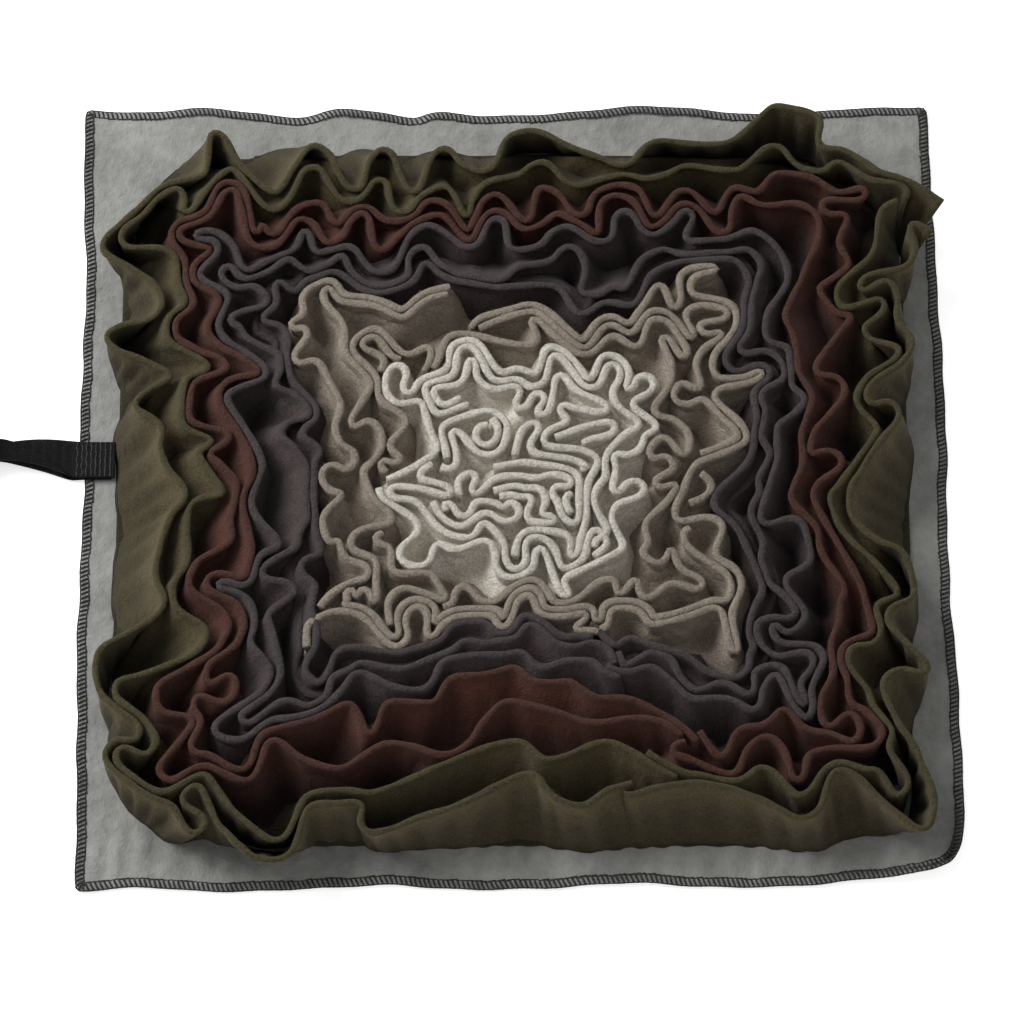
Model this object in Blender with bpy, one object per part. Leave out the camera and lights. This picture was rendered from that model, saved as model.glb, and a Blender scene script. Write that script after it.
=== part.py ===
"""Snuffle mat: a square felt base with ruffled fleece strips sewn on in square rings, and a webbing loop.

Metres, +Z up. The origin is the middle of the flat underside. +X runs right, +Y away and
the carrying loop leaves at -X. Plan sizes in the tables below are millimetres.
"""

import math
from collections import namedtuple

import bmesh
import bpy
import numpy as np

MM = 0.001

# Felt base
FELT = 2.0  # thickness
BORDER = 20.0  # width of the rim that may lift, inside the outline

# Fleece ruffles
FLEECE = 1.9  # thickness of a wall
SEAT = 0.3  # clearance between a strip and the felt it is sewn to
FOOT_WIDTH = 3.2  # width of the sewn foot of a strip
FOOT_DEPTH = 2.4  # height of the closed foot, below the channel
TOP = 40.0  # usual height of a wall's edge
CLEAR = 2.4  # least free space between two walls, square to them
STEP = 9.0  # distance between stations along a side
CORNER_TRIM = 7.0  # how far a side stops short of its neighbour's wall

# Webbing loop
WEB_WIDTH = 20.0
WEB_THICK = 1.6
WEB_Y = 17.0  # centre line
WEB_SEWN_END = -209.2  # both ends are sewn down here
WEB_STEP_OFF = -226.0  # where the lower layer leaves the felt
WEB_REACH = -290.0  # far end of the loop
WEB_RISE = 11.0  # height of the upper layer over the surface
WEB_EASE = 10.0  # length of each easy bend
WEB_LAP = 0.4  # clearance between the two sewn layers

SIDES = ("west", "north", "east", "south")

Seam = namedtuple("Seam", "half_x half_y")
Fold = namedtuple("Fold", "along outer inner")
Corner = namedtuple("Corner", "x y lift")

# Seam lines, as half sizes of the square rings
SEAMS = {
    "olive": Seam(207, 198),
    "brown": Seam(181, 172),
    "purple_outer": Seam(155, 147),
    "purple_inner": Seam(130, 122),
    "taupe_outer": Seam(106, 98),
    "taupe_inner": Seam(83, 76),
    "white_outer": Seam(60, 54),
    "white_middle": Seam(38, 34),
    "white_inner": Seam(16, 13),
}

# Folds of each strip, clockwise. along runs with x on the north and south sides and with y on
# the others. outer and inner are how far out from the middle the two edges stand.
OLIVE_FOLDS = {
    "south_left": [
        Fold(54, 181, 157),
        Fold(33, 191, 161),
        Fold(9, 174, 161),
        Fold(-16, 185, 161),
        Fold(-42, 193, 172),
        Fold(-69, 205, 184),
        Fold(-90, 191, 183),
        Fold(-104, 195, 186),
        Fold(-118, 220, 209),
        Fold(-139, 211, 197),
        Fold(-159, 184, 176),
        Fold(-173, 192, 183),
        Fold(-189, 184, 176),
    ],
    "west": [
        Fold(-176, 204, 196),
        Fold(-165, 205, 196),
        Fold(-153, 189, 181),
        Fold(-122, 212, 200),
        Fold(-98, 201, 156),
        Fold(-80, 179, 171),
        Fold(-62, 182, 168),
        Fold(-40, 179, 166),
        Fold(-19, 168, 149),
        Fold(6, 181, 160),
        Fold(32, 197, 171),
        Fold(51, 177, 158),
        Fold(73, 213, 181),
        Fold(87, 186, 177),
        Fold(103, 188, 174),
        Fold(119, 216, 192),
        Fold(132, 214, 204),
        Fold(148, 197, 188),
        Fold(160, 182, 174),
    ],
    "north": [
        Fold(-170, 166, 150),
        Fold(-159, 189, 158),
        Fold(-147, 180, 169),
        Fold(-126, 157, 147),
        Fold(-105, 185, 171),
        Fold(-84, 159, 150),
        Fold(-69, 182, 165),
        Fold(-52, 158, 146),
        Fold(-36, 184, 160),
        Fold(-20, 169, 150),
        Fold(10, 192, 172),
        Fold(37, 180, 160),
        Fold(57, 173, 165),
        Fold(80, 188, 168),
        Fold(102, 186, 172),
        Fold(120, 191, 170),
        Fold(141, 210, 184),
        Fold(163, 197, 170),
        Fold(181, 180, 171),
        Fold(205, 168, 160),
        Fold(220, 158, 151),
    ],
    "east": [
        Fold(140, 211, 194),
        Fold(124, 211, 189),
        Fold(112, 203, 178),
        Fold(101, 182, 168),
        Fold(92, 200, 172),
        Fold(74, 206, 187),
        Fold(65, 207, 199),
        Fold(54, 199, 191),
        Fold(37, 185, 177),
        Fold(27, 200, 183),
        Fold(12, 192, 184),
        Fold(-4, 182, 174),
        Fold(-22, 173, 163),
        Fold(-42, 186, 171),
        Fold(-60, 203, 188),
        Fold(-74, 204, 196),
        Fold(-86, 193, 184),
        Fold(-98, 197, 184),
        Fold(-114, 211, 171),
        Fold(-128, 189, 180),
        Fold(-145, 195, 186),
        Fold(-160, 203, 191),
        Fold(-176, 208, 198),
    ],
    "south_right": [
        Fold(190, 193, 184),
        Fold(175, 178, 169),
        Fold(163, 174, 166),
        Fold(147, 197, 185),
        Fold(137, 194, 182),
        Fold(125, 187, 169),
        Fold(110, 182, 174),
        Fold(90, 179, 171),
        Fold(62, 185, 161),
    ],
}

BROWN_FOLDS = {
    "south_left": [
        Fold(75, 146, 137),
        Fold(52, 145, 133),
        Fold(28, 142, 125),
        Fold(0, 135, 116),
        Fold(-16, 148, 120),
        Fold(-34, 164, 125),
        Fold(-58, 157, 134),
        Fold(-71, 160, 151),
        Fold(-90, 171, 137),
        Fold(-112, 162, 147),
        Fold(-122, 158, 149),
        Fold(-137, 180, 171),
        Fold(-150, 173, 165),
    ],
    "west": [
        Fold(-165, 176, 166),
        Fold(-150, 163, 155),
        Fold(-133, 181, 158),
        Fold(-121, 173, 151),
        Fold(-108, 153, 145),
        Fold(-92, 146, 137),
        Fold(-69, 166, 157),
        Fold(-50, 153, 133),
        Fold(-34, 145, 137),
        Fold(-14, 142, 134),
        Fold(3, 160, 136),
        Fold(14, 148, 140),
        Fold(32, 169, 151),
        Fold(44, 167, 146),
        Fold(54, 149, 134),
        Fold(76, 177, 159),
        Fold(91, 167, 152),
        Fold(110, 171, 163),
        Fold(130, 180, 171),
        Fold(142, 170, 162),
    ],
    "north": [
        Fold(-152, 161, 153),
        Fold(-136, 133, 125),
        Fold(-118, 143, 135),
        Fold(-105, 151, 140),
        Fold(-92, 137, 128),
        Fold(-79, 150, 142),
        Fold(-66, 142, 125),
        Fold(-43, 152, 143),
        Fold(-24, 135, 127),
        Fold(-9, 156, 146),
        Fold(6, 142, 134),
        Fold(16, 158, 140),
        Fold(36, 143, 134),
        Fold(45, 157, 130),
        Fold(57, 161, 153),
        Fold(74, 144, 136),
        Fold(91, 158, 149),
        Fold(107, 146, 134),
        Fold(120, 161, 153),
        Fold(132, 159, 150),
        Fold(148, 169, 151),
        Fold(165, 163, 140),
    ],
    "east": [
        Fold(148, 184, 160),
        Fold(130, 171, 160),
        Fold(116, 177, 155),
        Fold(100, 160, 148),
        Fold(84, 175, 140),
        Fold(66, 164, 146),
        Fold(51, 157, 148),
        Fold(42, 172, 152),
        Fold(25, 162, 150),
        Fold(14, 158, 149),
        Fold(2, 170, 150),
        Fold(-16, 155, 143),
        Fold(-34, 161, 152),
        Fold(-52, 170, 159),
        Fold(-70, 178, 169),
        Fold(-88, 183, 166),
        Fold(-102, 173, 162),
        Fold(-120, 170, 162),
        Fold(-136, 171, 156),
        Fold(-150, 184, 161),
    ],
    "south_right": [
        Fold(158, 163, 150),
        Fold(145, 176, 146),
        Fold(137, 166, 137),
        Fold(126, 154, 146),
        Fold(108, 174, 162),
        Fold(97, 169, 155),
        Fold(86, 163, 144),
        Fold(80, 158, 142),
    ],
}

# Felt outline, clockwise from the back left corner, with how far the rim lifts there
OUTLINE = [
    Corner(-228, 226, 0),
    Corner(-196, 224, 1.0),
    Corner(-160, 226, 2.0),
    Corner(-115, 221, 0.5),
    Corner(-90, 226, 2.5),
    Corner(-55, 221, 0.5),
    Corner(-40, 224, 1.5),
    Corner(0, 222, 0.5),
    Corner(75, 227, 2.5),
    Corner(130, 223, 0.5),
    Corner(180, 226, 1.0),
    Corner(221, 228, 0),
    Corner(222, 180, 0),
    Corner(224, 110, 0.5),
    Corner(226, 40, 0),
    Corner(225, -40, 0.5),
    Corner(228, -110, 0),
    Corner(229, -170, 1.0),
    Corner(228, -196, 4.0),
    Corner(222, -208, 7.0),
    Corner(208, -213, 6.0),
    Corner(180, -216, 2.0),
    Corner(120, -220, 0.5),
    Corner(60, -218, 1.5),
    Corner(0, -221, 0),
    Corner(-60, -219, 1.0),
    Corner(-130, -222, 0),
    Corner(-190, -220, 0.5),
    Corner(-221, -222, 0),
    Corner(-222, -160, 0),
    Corner(-224, -80, 0.5),
    Corner(-223, 0, 0),
    Corner(-226, 40, 0),
    Corner(-225, 120, 0.5),
    Corner(-228, 180, 0),
]

# Strips that lie so close that their folds nest in the strip outside them. The reaches are the
# usual distance of the outer edge from the middle on each side; the folds swing about it.
# channel is the usual distance between its two edges, and join is where on the south side
# its two ends meet.
Nested = namedtuple("Nested", "west north east south channel swing pitch join")
NESTED = {
    "purple_outer": Nested(136, 132, 147, 128, 11, 9, 46, -63),
    "purple_inner": Nested(114, 112, 124, 108, 11, 8, 42, 36),
    "taupe_outer": Nested(97, 92, 103, 91, 10, 8, 40, -27),
    "taupe_inner": Nested(78, 74, 84, 74, 10, 7, 36, 27),
    "white_outer": Nested(60, 56, 66, 58, 9, 6, 31, -18),
    "white_middle": Nested(40, 38, 44, 38, 9, 5, 27, 9),
    "white_inner": Nested(20, 19, 23, 19, 9, 3, 22, 0),
}
UNEVEN = 0.45  # how much the folds of a nested strip differ from one another
END_DRAW = 6.5  # how far a strip's last station is drawn on, so that its ends nearly meet

COLOURS = {
    "base_cloth": (0.42, 0.42, 0.42),
    "carry_loop": (0.02, 0.02, 0.022),
    "olive": (0.055, 0.05, 0.028),
    "brown": (0.10, 0.03, 0.018),
    "purple": (0.085, 0.068, 0.075),
    "taupe": (0.24, 0.20, 0.16),
    "white": (0.52, 0.51, 0.46),
}


def clear_scene():
    for obj in list(bpy.data.objects):
        bpy.data.objects.remove(obj, do_unlink=True)


def material(name, colour):
    made = bpy.data.materials.new(name)
    made.use_nodes = True
    shader = made.node_tree.nodes["Principled BSDF"]
    shader.inputs["Base Color"].default_value = (*colour, 1)
    shader.inputs["Roughness"].default_value = 0.95
    shader.inputs["Metallic"].default_value = 0
    return made


def add_object(name, shape, collection, finish):
    """Turn a closed bmesh in millimetres into a named object in metres."""
    bmesh.ops.scale(shape, vec=(MM, MM, MM), verts=shape.verts)
    bmesh.ops.recalc_face_normals(shape, faces=shape.faces)
    data = bpy.data.meshes.new(name)
    shape.to_mesh(data)
    shape.free()
    data.materials.append(finish)
    obj = bpy.data.objects.new(name, data)
    collection.objects.link(obj)
    return obj


def side_of(run):
    return "south" if run.startswith("south") else run


def heading(run):
    """+1 where a clockwise walk along this side raises the along coordinate, else -1."""
    return 1 if side_of(run) in ("west", "north") else -1


def place(run, along, reach):
    """Plan position of a point on a side."""
    return {
        "north": (along, reach),
        "east": (reach, along),
        "south": (along, -reach),
        "west": (-reach, along),
    }[side_of(run)]


def fold_reach(rows, along):
    """Outer and inner reach at a station, easing smoothly from each fold to the next."""
    rows = sorted(rows)
    if along <= rows[0].along:
        return rows[0].outer, rows[0].inner
    for here, after in zip(rows, rows[1:]):
        if along <= after.along:
            share = (along - here.along) / (after.along - here.along)
            ease = (1 - math.cos(math.pi * share)) / 2
            outer = here.outer + (after.outer - here.outer) * ease
            inner = here.inner + (after.inner - here.inner) * ease
            return outer, inner
    return rows[-1].outer, rows[-1].inner


def nested_runs(name):
    """Folds of a strip that nests, all the way round from one end to the other."""
    ring = NESTED[name]
    mean = {"west": ring.west, "north": ring.north, "east": ring.east, "south": ring.south}
    ends = {
        "south_left": (ring.join, -ring.west),
        "west": (-ring.south, ring.north),
        "north": (-ring.west, ring.east),
        "east": (ring.north, -ring.south),
        "south_right": (ring.east, ring.join + STEP),
    }
    runs = {}
    for run, (first, last) in ends.items():
        trim = CORNER_TRIM + ring.swing / 2
        if run != "south_left":
            first += heading(run) * trim
        if run != "south_right":
            last -= heading(run) * trim
        count = max(2, round(abs(last - first) / ring.pitch * 2) + 1)
        rows = []
        for index in range(count):
            along = first + (last - first) * index / (count - 1)
            drift = math.sin(along / 23.0 + ring.pitch) * UNEVEN
            reach = mean[side_of(run)] + ring.swing * (math.cos(math.pi * index) + drift)
            channel = ring.channel * (1 + UNEVEN * math.sin(along / 13.0 + ring.pitch))
            rows.append(Fold(along, reach, reach - channel))
        runs[run] = rows
    return runs


def grid_walls(runs):
    """Reach of both edges of a strip at the shared stations of every side."""
    walls = {}
    for run, rows in runs.items():
        alongs = [row.along for row in rows]
        low = math.ceil(min(alongs) / STEP)
        high = math.floor(max(alongs) / STEP)
        walls[run] = {k: list(fold_reach(rows, k * STEP)) for k in range(low, high + 1)}
    return walls


def steepest(wall, k):
    """Largest slope of a wall's edge beside station k."""
    slopes = [abs(wall[n] - wall[k]) / STEP for n in (k - 1, k + 1) if n in wall]
    return max(slopes, default=0.0)


def merge_sides(walls, edge):
    """One edge of a strip as a reach by station, for each of the four sides."""
    merged = {side: {} for side in SIDES}
    for run, stations in walls.items():
        for k, reaches in stations.items():
            merged[side_of(run)][k] = reaches[edge]
    return merged


def keep_inside(walls, edge, outside):
    """Draw one edge of a strip in wherever it would come too near the wall outside it."""
    for run, stations in walls.items():
        beyond = outside[side_of(run)]
        for _ in range(3):
            mine = {k: reaches[edge] for k, reaches in stations.items()}
            for k, reaches in stations.items():
                near = min(beyond, key=lambda n: abs(n - k))
                slope = max(steepest(beyond, near), steepest(mine, k))
                room = (FLEECE + CLEAR) * math.sqrt(1 + slope * slope)
                reaches[edge] = min(reaches[edge], beyond[near] - room)


def strip_stations(walls, seam):
    """Foot, outer edge and inner edge of a strip in plan, clockwise."""
    foot, outer, inner = [], [], []
    for run, stations in walls.items():
        across = side_of(run) in ("north", "south")
        limit, reach = (seam.half_x, seam.half_y) if across else (seam.half_y, seam.half_x)
        last = min(stations) if run == "south_right" else None
        for k in sorted(stations, key=lambda n: n * heading(run)):
            along = k * STEP - (END_DRAW if k == last else 0)
            held = max(-limit + FOOT_WIDTH, min(limit - FOOT_WIDTH, along))
            foot.append(place(run, held, reach))
            outer.append(place(run, along, stations[k][0]))
            inner.append(place(run, along, stations[k][1]))
    return np.array(foot, float), np.array(outer, float), np.array(inner, float)


def outward(path):
    """Unit normals of an open plan path that runs clockwise, pointing away from its inside."""
    step = np.gradient(path, axis=0)
    normal = np.stack([-step[:, 1], step[:, 0]], axis=1)
    return normal / np.maximum(np.linalg.norm(normal, axis=1, keepdims=True), 1e-9)


def edge_height(x, y):
    """Height of an edge of fleece, gently uneven over the mat."""
    return TOP + 1.6 * math.sin(x / 31.0 + 0.6) + 1.6 * math.sin(y / 27.0 + 1.1)


def ruffle(name, walls, seam, collection, finish):
    """One strip, sewn down its middle, with both halves standing up from a narrow foot."""
    foot, outer, inner = strip_stations(walls, seam)
    middle = (outer + inner) / 2
    low = FELT + SEAT
    rows = []
    for k in range(len(foot)):
        at_foot = outward(foot)[k]
        at_outer = outward(outer)[k]
        at_inner = outward(inner)[k]
        high = edge_height(*middle[k])
        half = FLEECE / 2
        rows.append(
            [
                (*(foot[k] + at_foot * FOOT_WIDTH / 2), low),
                (*(outer[k] + at_outer * half), high),
                (*(outer[k] - at_outer * half), high),
                (*foot[k], low + FOOT_DEPTH),
                (*(inner[k] + at_inner * half), high),
                (*(inner[k] - at_inner * half), high),
                (*(foot[k] - at_foot * FOOT_WIDTH / 2), low),
            ]
        )
    shape = bmesh.new()
    rings = [[shape.verts.new(point) for point in row] for row in rows]
    for here, after in zip(rings, rings[1:]):
        for n in range(len(here)):
            m = (n + 1) % len(here)
            shape.faces.new((here[n], here[m], after[m], after[n]))
    shape.faces.new(rings[0])
    shape.faces.new(reversed(rings[-1]))
    bmesh.ops.triangulate(shape, faces=shape.faces)
    return add_object(name, shape, collection, finish)


def base_cloth(collection, finish):
    """The felt: flat in the middle, with a rim that waves a little and one corner that curls."""
    shape = bmesh.new()
    rim = []
    hold = []
    for corner in OUTLINE:
        size = math.hypot(corner.x, corner.y)
        shrink = 1 - BORDER / size
        rim.append(shape.verts.new((corner.x, corner.y, corner.lift)))
        hold.append(shape.verts.new((corner.x * shrink, corner.y * shrink, 0)))
    for n in range(len(rim)):
        m = (n + 1) % len(rim)
        shape.faces.new((rim[n], rim[m], hold[m], hold[n]))
    shape.faces.new(hold)
    bmesh.ops.triangulate(shape, faces=shape.faces)
    upper = bmesh.ops.duplicate(shape, geom=shape.verts[:] + shape.edges[:] + shape.faces[:])
    copies = upper["vert_map"]
    for vert in [*rim, *hold]:
        copies[vert].co.z += FELT
    for n in range(len(rim)):
        m = (n + 1) % len(rim)
        shape.faces.new((rim[n], copies[rim[n]], copies[rim[m]], rim[m]))
    return add_object("base_cloth", shape, collection, finish)


def web_path():
    """Side view of the webbing's centre line, from the lower sewn end round to the upper one."""
    half = WEB_THICK / 2
    lower_sewn = FELT + SEAT + half
    upper_sewn = lower_sewn + WEB_THICK + WEB_LAP
    turn = WEB_RISE / 2
    points = [(WEB_SEWN_END, lower_sewn), (WEB_STEP_OFF, lower_sewn)]
    points += [(WEB_STEP_OFF - WEB_EASE, half), (WEB_REACH + turn + half, half)]
    for degrees in (30, 60, 90, 120, 150):
        angle = math.radians(degrees)
        x = WEB_REACH + turn + half - turn * math.sin(angle)
        points.append((x, half + turn - turn * math.cos(angle)))
    points.append((WEB_REACH + turn + half, half + WEB_RISE))
    points.append((WEB_STEP_OFF - 2 * WEB_EASE, half + WEB_RISE))
    points.append((WEB_STEP_OFF, upper_sewn))
    points.append((WEB_SEWN_END, upper_sewn))
    return np.array(points)


def carry_loop(collection, finish):
    """Flat webbing folded into a loop, both ends stacked and sewn to the felt."""
    path = web_path()
    step = np.diff(path, axis=0)
    step /= np.linalg.norm(step, axis=1, keepdims=True)
    before = np.vstack([step[:1], step])
    after = np.vstack([step, step[-1:]])
    bisector = before + after
    bisector /= np.linalg.norm(bisector, axis=1, keepdims=True)
    normal = np.stack([bisector[:, 1], -bisector[:, 0]], axis=1)
    stretch = 1 / np.sum(bisector * after, axis=1, keepdims=True)
    one = path + normal * stretch * WEB_THICK / 2
    other = path - normal * stretch * WEB_THICK / 2
    outline = np.vstack([one, other[::-1]])
    shape = bmesh.new()
    front = [shape.verts.new((x, WEB_Y - WEB_WIDTH / 2, z)) for x, z in outline]
    back = [shape.verts.new((x, WEB_Y + WEB_WIDTH / 2, z)) for x, z in outline]
    count = len(path)
    for n in range(count - 1):
        m = 2 * count - 1 - n
        shape.faces.new((front[n], front[n + 1], front[m - 1], front[m]))
        shape.faces.new((back[n], back[m], back[m - 1], back[n + 1]))
    for n in range(len(outline)):
        m = (n + 1) % len(outline)
        shape.faces.new((front[n], back[n], back[m], front[m]))
    bmesh.ops.triangulate(shape, faces=shape.faces)
    return add_object("carry_loop", shape, collection, finish)


def split_olive():
    """The olive ring is two lengths of fleece: one round the left and back, one on the right."""
    long_runs = {run: OLIVE_FOLDS[run] for run in ("south_left", "west", "north")}
    short_runs = {run: OLIVE_FOLDS[run] for run in ("east", "south_right")}
    return long_runs, short_runs


def main():
    clear_scene()
    mat = bpy.data.collections.new("snuffle_mat")
    bpy.context.scene.collection.children.link(mat)
    finishes = {name: material(name, colour) for name, colour in COLOURS.items()}
    base_cloth(mat, finishes["base_cloth"])
    carry_loop(mat, finishes["carry_loop"])

    strips = [("olive", run) for run in split_olive()] + [("brown", BROWN_FOLDS)]
    strips += [(name, nested_runs(name)) for name in NESTED]
    names = ["olive_ruffle_long", "olive_ruffle_short", "brown_ruffle"]
    names += [f"{name}_ruffle" for name in NESTED]
    outside = {side: {} for side in SIDES}
    for name, (ring, runs) in zip(names, strips):
        walls = grid_walls(runs)
        if ring != "olive":
            keep_inside(walls, 0, outside)
        keep_inside(walls, 1, merge_sides(walls, 0))
        edges = merge_sides(walls, 1)
        if ring == "olive":
            for side in SIDES:
                outside[side].update(edges[side])
        else:
            outside = edges
        ruffle(name, walls, SEAMS[ring], mat, finishes[ring.split("_")[0]])


if __name__ == "__main__":
    main()
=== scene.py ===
import logging
import math
from dataclasses import dataclass
from enum import Enum

import bmesh
import bpy
import numpy as np
from bpy.types import Material, Node, NodeSocket, NodeTree, Object
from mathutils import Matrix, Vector
from mathutils.kdtree import KDTree


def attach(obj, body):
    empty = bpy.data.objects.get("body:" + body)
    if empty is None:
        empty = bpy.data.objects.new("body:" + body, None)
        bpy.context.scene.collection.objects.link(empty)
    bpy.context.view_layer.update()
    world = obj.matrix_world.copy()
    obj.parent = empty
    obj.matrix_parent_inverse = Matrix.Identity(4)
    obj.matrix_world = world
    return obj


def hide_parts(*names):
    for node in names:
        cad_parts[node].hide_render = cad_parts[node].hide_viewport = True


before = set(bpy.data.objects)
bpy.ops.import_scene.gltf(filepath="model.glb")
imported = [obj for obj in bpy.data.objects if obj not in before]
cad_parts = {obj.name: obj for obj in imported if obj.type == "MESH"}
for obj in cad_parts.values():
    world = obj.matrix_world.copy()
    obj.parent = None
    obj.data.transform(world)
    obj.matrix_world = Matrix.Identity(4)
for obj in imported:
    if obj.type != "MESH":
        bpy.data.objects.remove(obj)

log = logging.getLogger("snuffle_mat")

MM = 0.001
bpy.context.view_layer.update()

Line = tuple[tuple[int, int], ...]
Shell = tuple[np.ndarray, np.ndarray, np.ndarray]  # points in metres, faces, and values by point

# The lines that the free edges of the fleece strips follow, seen from above, in millimetres.
# Each point is (right, back) from the middle of the mat, and each ring runs clockwise from
# the front.
OLIVE_LONG_OUTER: Line = (
    (60, -179), (48, -183), (38, -191), (32, -192), (20, -187), (13, -177), (9, -174), (3, -175),
    (-8, -180), (-16, -185), (-31, -192), (-47, -196), (-60, -202), (-71, -205), (-76, -202),
    (-77, -197), (-75, -191), (-79, -189), (-89, -190), (-99, -190), (-104, -193), (-108, -207),
    (-110, -214), (-114, -218), (-119, -220), (-126, -220), (-133, -217), (-144, -206),
    (-149, -200), (-155, -186), (-158, -181), (-161, -180), (-165, -182), (-167, -187),
    (-165, -191), (-157, -196), (-154, -200), (-156, -204), (-160, -206), (-164, -204),
    (-170, -193), (-173, -190), (-183, -186), (-195, -177), (-205, -167), (-206, -162),
    (-203, -157), (-199, -155), (-193, -156), (-189, -154), (-188, -150), (-190, -146),
    (-200, -139), (-209, -130), (-212, -120), (-212, -111), (-209, -104), (-198, -97), (-186, -89),
    (-180, -84), (-178, -80), (-178, -75), (-182, -68), (-183, -60), (-181, -49), (-179, -40),
    (-175, -29), (-170, -24), (-168, -19), (-169, -15), (-178, -4), (-182, 8), (-181, 14),
    (-182, 20), (-193, 28), (-196, 32), (-192, 38), (-184, 44), (-177, 50), (-190, 58), (-198, 61),
    (-207, 65), (-212, 73), (-203, 80), (-189, 83), (-183, 91), (-187, 103), (-200, 113),
    (-214, 122), (-214, 130), (-205, 138), (-195, 148), (-187, 157), (-180, 161), (-164, 165),
    (-161, 171), (-160, 188), (-158, 192), (-152, 189), (-145, 175), (-135, 163), (-126, 156),
    (-122, 159), (-115, 171), (-108, 183), (-104, 185), (-96, 179), (-89, 163), (-82, 159),
    (-79, 162), (-76, 175), (-72, 181), (-68, 183), (-63, 179), (-60, 171), (-57, 162), (-54, 158),
    (-51, 157), (-48, 161), (-44, 175), (-41, 181), (-37, 184), (-32, 182), (-28, 175), (-18, 169),
    (-13, 170), (-9, 173), (-5, 185), (-1, 190), (9, 193), (17, 191), (30, 183), (45, 177),
    (53, 173), (59, 172), (63, 174), (70, 184), (75, 187), (81, 188), (90, 187), (101, 186),
    (110, 186), (118, 189), (128, 200), (136, 209), (141, 210), (154, 206), (160, 203), (163, 199),
    (161, 187), (165, 183), (174, 182), (187, 173), (192, 168), (208, 162), (217, 157), (226, 151),
)
OLIVE_LONG_INNER: Line = (
    (84, -176), (72, -170), (60, -162), (49, -157), (41, -158), (27, -165), (20, -167), (14, -166),
    (6, -158), (0, -157), (-8, -158), (-20, -162), (-35, -169), (-51, -176), (-66, -182),
    (-72, -184), (-81, -183), (-90, -183), (-99, -184), (-105, -187), (-111, -201), (-114, -207),
    (-119, -210), (-125, -208), (-138, -197), (-144, -190), (-153, -177), (-157, -175),
    (-167, -180), (-175, -184), (-182, -183), (-195, -174), (-200, -169), (-201, -165),
    (-200, -161), (-196, -159), (-186, -164), (-182, -161), (-180, -155), (-188, -144),
    (-200, -134), (-202, -129), (-200, -123), (-188, -120), (-173, -113), (-165, -110),
    (-159, -105), (-156, -99), (-158, -92), (-170, -84), (-173, -79), (-174, -72), (-172, -66),
    (-167, -59), (-166, -51), (-167, -43), (-167, -31), (-165, -24), (-159, -21), (-150, -20),
    (-149, -17), (-158, -4), (-162, 4), (-157, 8), (-155, 12), (-167, 17), (-171, 22), (-171, 30),
    (-170, 44), (-167, 49), (-157, 53), (-164, 62), (-177, 69), (-180, 74), (-180, 81), (-177, 86),
    (-171, 90), (-170, 96), (-173, 102), (-175, 118), (-178, 122), (-184, 124), (-200, 124),
    (-204, 126), (-206, 130), (-204, 136), (-195, 144), (-188, 154), (-178, 160), (-174, 157),
    (-172, 151), (-172, 143), (-168, 143), (-160, 158), (-151, 169), (-147, 170), (-139, 158),
    (-130, 148), (-124, 147), (-119, 151), (-115, 157), (-110, 169), (-105, 171), (-101, 170),
    (-93, 156), (-89, 152), (-85, 151), (-81, 152), (-76, 160), (-74, 164), (-69, 166), (-66, 163),
    (-64, 151), (-61, 146), (-57, 144), (-53, 146), (-50, 152), (-45, 157), (-36, 160), (-32, 157),
    (-26, 145), (-24, 142), (-21, 143), (-20, 153), (-13, 163), (0, 165), (5, 167), (9, 171),
    (18, 173), (26, 164), (30, 161), (35, 160), (45, 164), (58, 167), (70, 164), (81, 167),
    (91, 173), (106, 171), (118, 170), (123, 173), (133, 183), (138, 185), (143, 183), (146, 177),
    (151, 172), (157, 170), (164, 170), (168, 174), (173, 175), (183, 167), (189, 163), (203, 161),
    (207, 158), (208, 155), (206, 152),
)
OLIVE_SHORT_OUTER: Line = (
    (220, 133), (212, 138), (208, 137), (211, 124), (209, 117), (204, 113), (187, 109), (182, 105),
    (181, 100), (184, 99), (193, 105), (197, 105), (200, 101), (201, 94), (200, 87), (202, 79),
    (206, 74), (208, 67), (202, 57), (190, 49), (185, 44), (183, 39), (184, 34), (187, 33),
    (194, 35), (198, 33), (200, 28), (198, 22), (188, 9), (179, -6), (174, -14), (173, -23),
    (175, -32), (187, -44), (195, -47), (201, -52), (205, -68), (204, -76), (194, -81), (191, -86),
    (193, -93), (203, -105), (208, -110), (211, -116), (209, -119), (199, -116), (193, -117),
    (189, -121), (188, -128), (193, -143), (197, -151), (203, -160), (208, -174), (211, -182),
    (212, -191), (211, -199), (208, -204), (202, -203), (191, -193), (184, -186), (177, -178),
    (171, -173), (165, -171), (160, -175), (156, -189), (152, -195), (146, -197), (141, -196),
    (127, -188), (120, -185), (110, -181), (98, -179), (90, -178), (73, -181), (61, -185),
    (56, -185),
)
OLIVE_SHORT_INNER: Line = (
    (202, 151), (197, 149), (193, 145), (191, 132), (189, 123), (184, 116), (172, 105), (169, 98),
    (170, 92), (174, 89), (186, 93), (191, 95), (194, 93), (194, 89), (190, 84), (184, 80),
    (183, 76), (187, 71), (200, 66), (201, 63), (198, 58), (185, 50), (178, 38), (179, 31),
    (188, 20), (187, 14), (177, 0), (167, -14), (163, -20), (167, -34), (172, -42), (178, -49),
    (185, -56), (196, -70), (196, -75), (186, -79), (185, -84), (187, -90), (187, -97),
    (183, -102), (176, -102), (172, -104), (170, -109), (171, -116), (180, -128), (182, -136),
    (187, -144), (192, -152), (190, -162), (199, -176), (198, -183), (193, -186), (187, -176),
    (183, -171), (179, -172), (167, -168), (161, -169), (156, -173), (152, -180), (147, -185),
    (142, -185), (134, -175), (128, -170), (123, -170), (119, -174), (113, -176), (104, -175),
    (95, -174), (86, -174), (74, -168), (67, -164),
)
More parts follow.
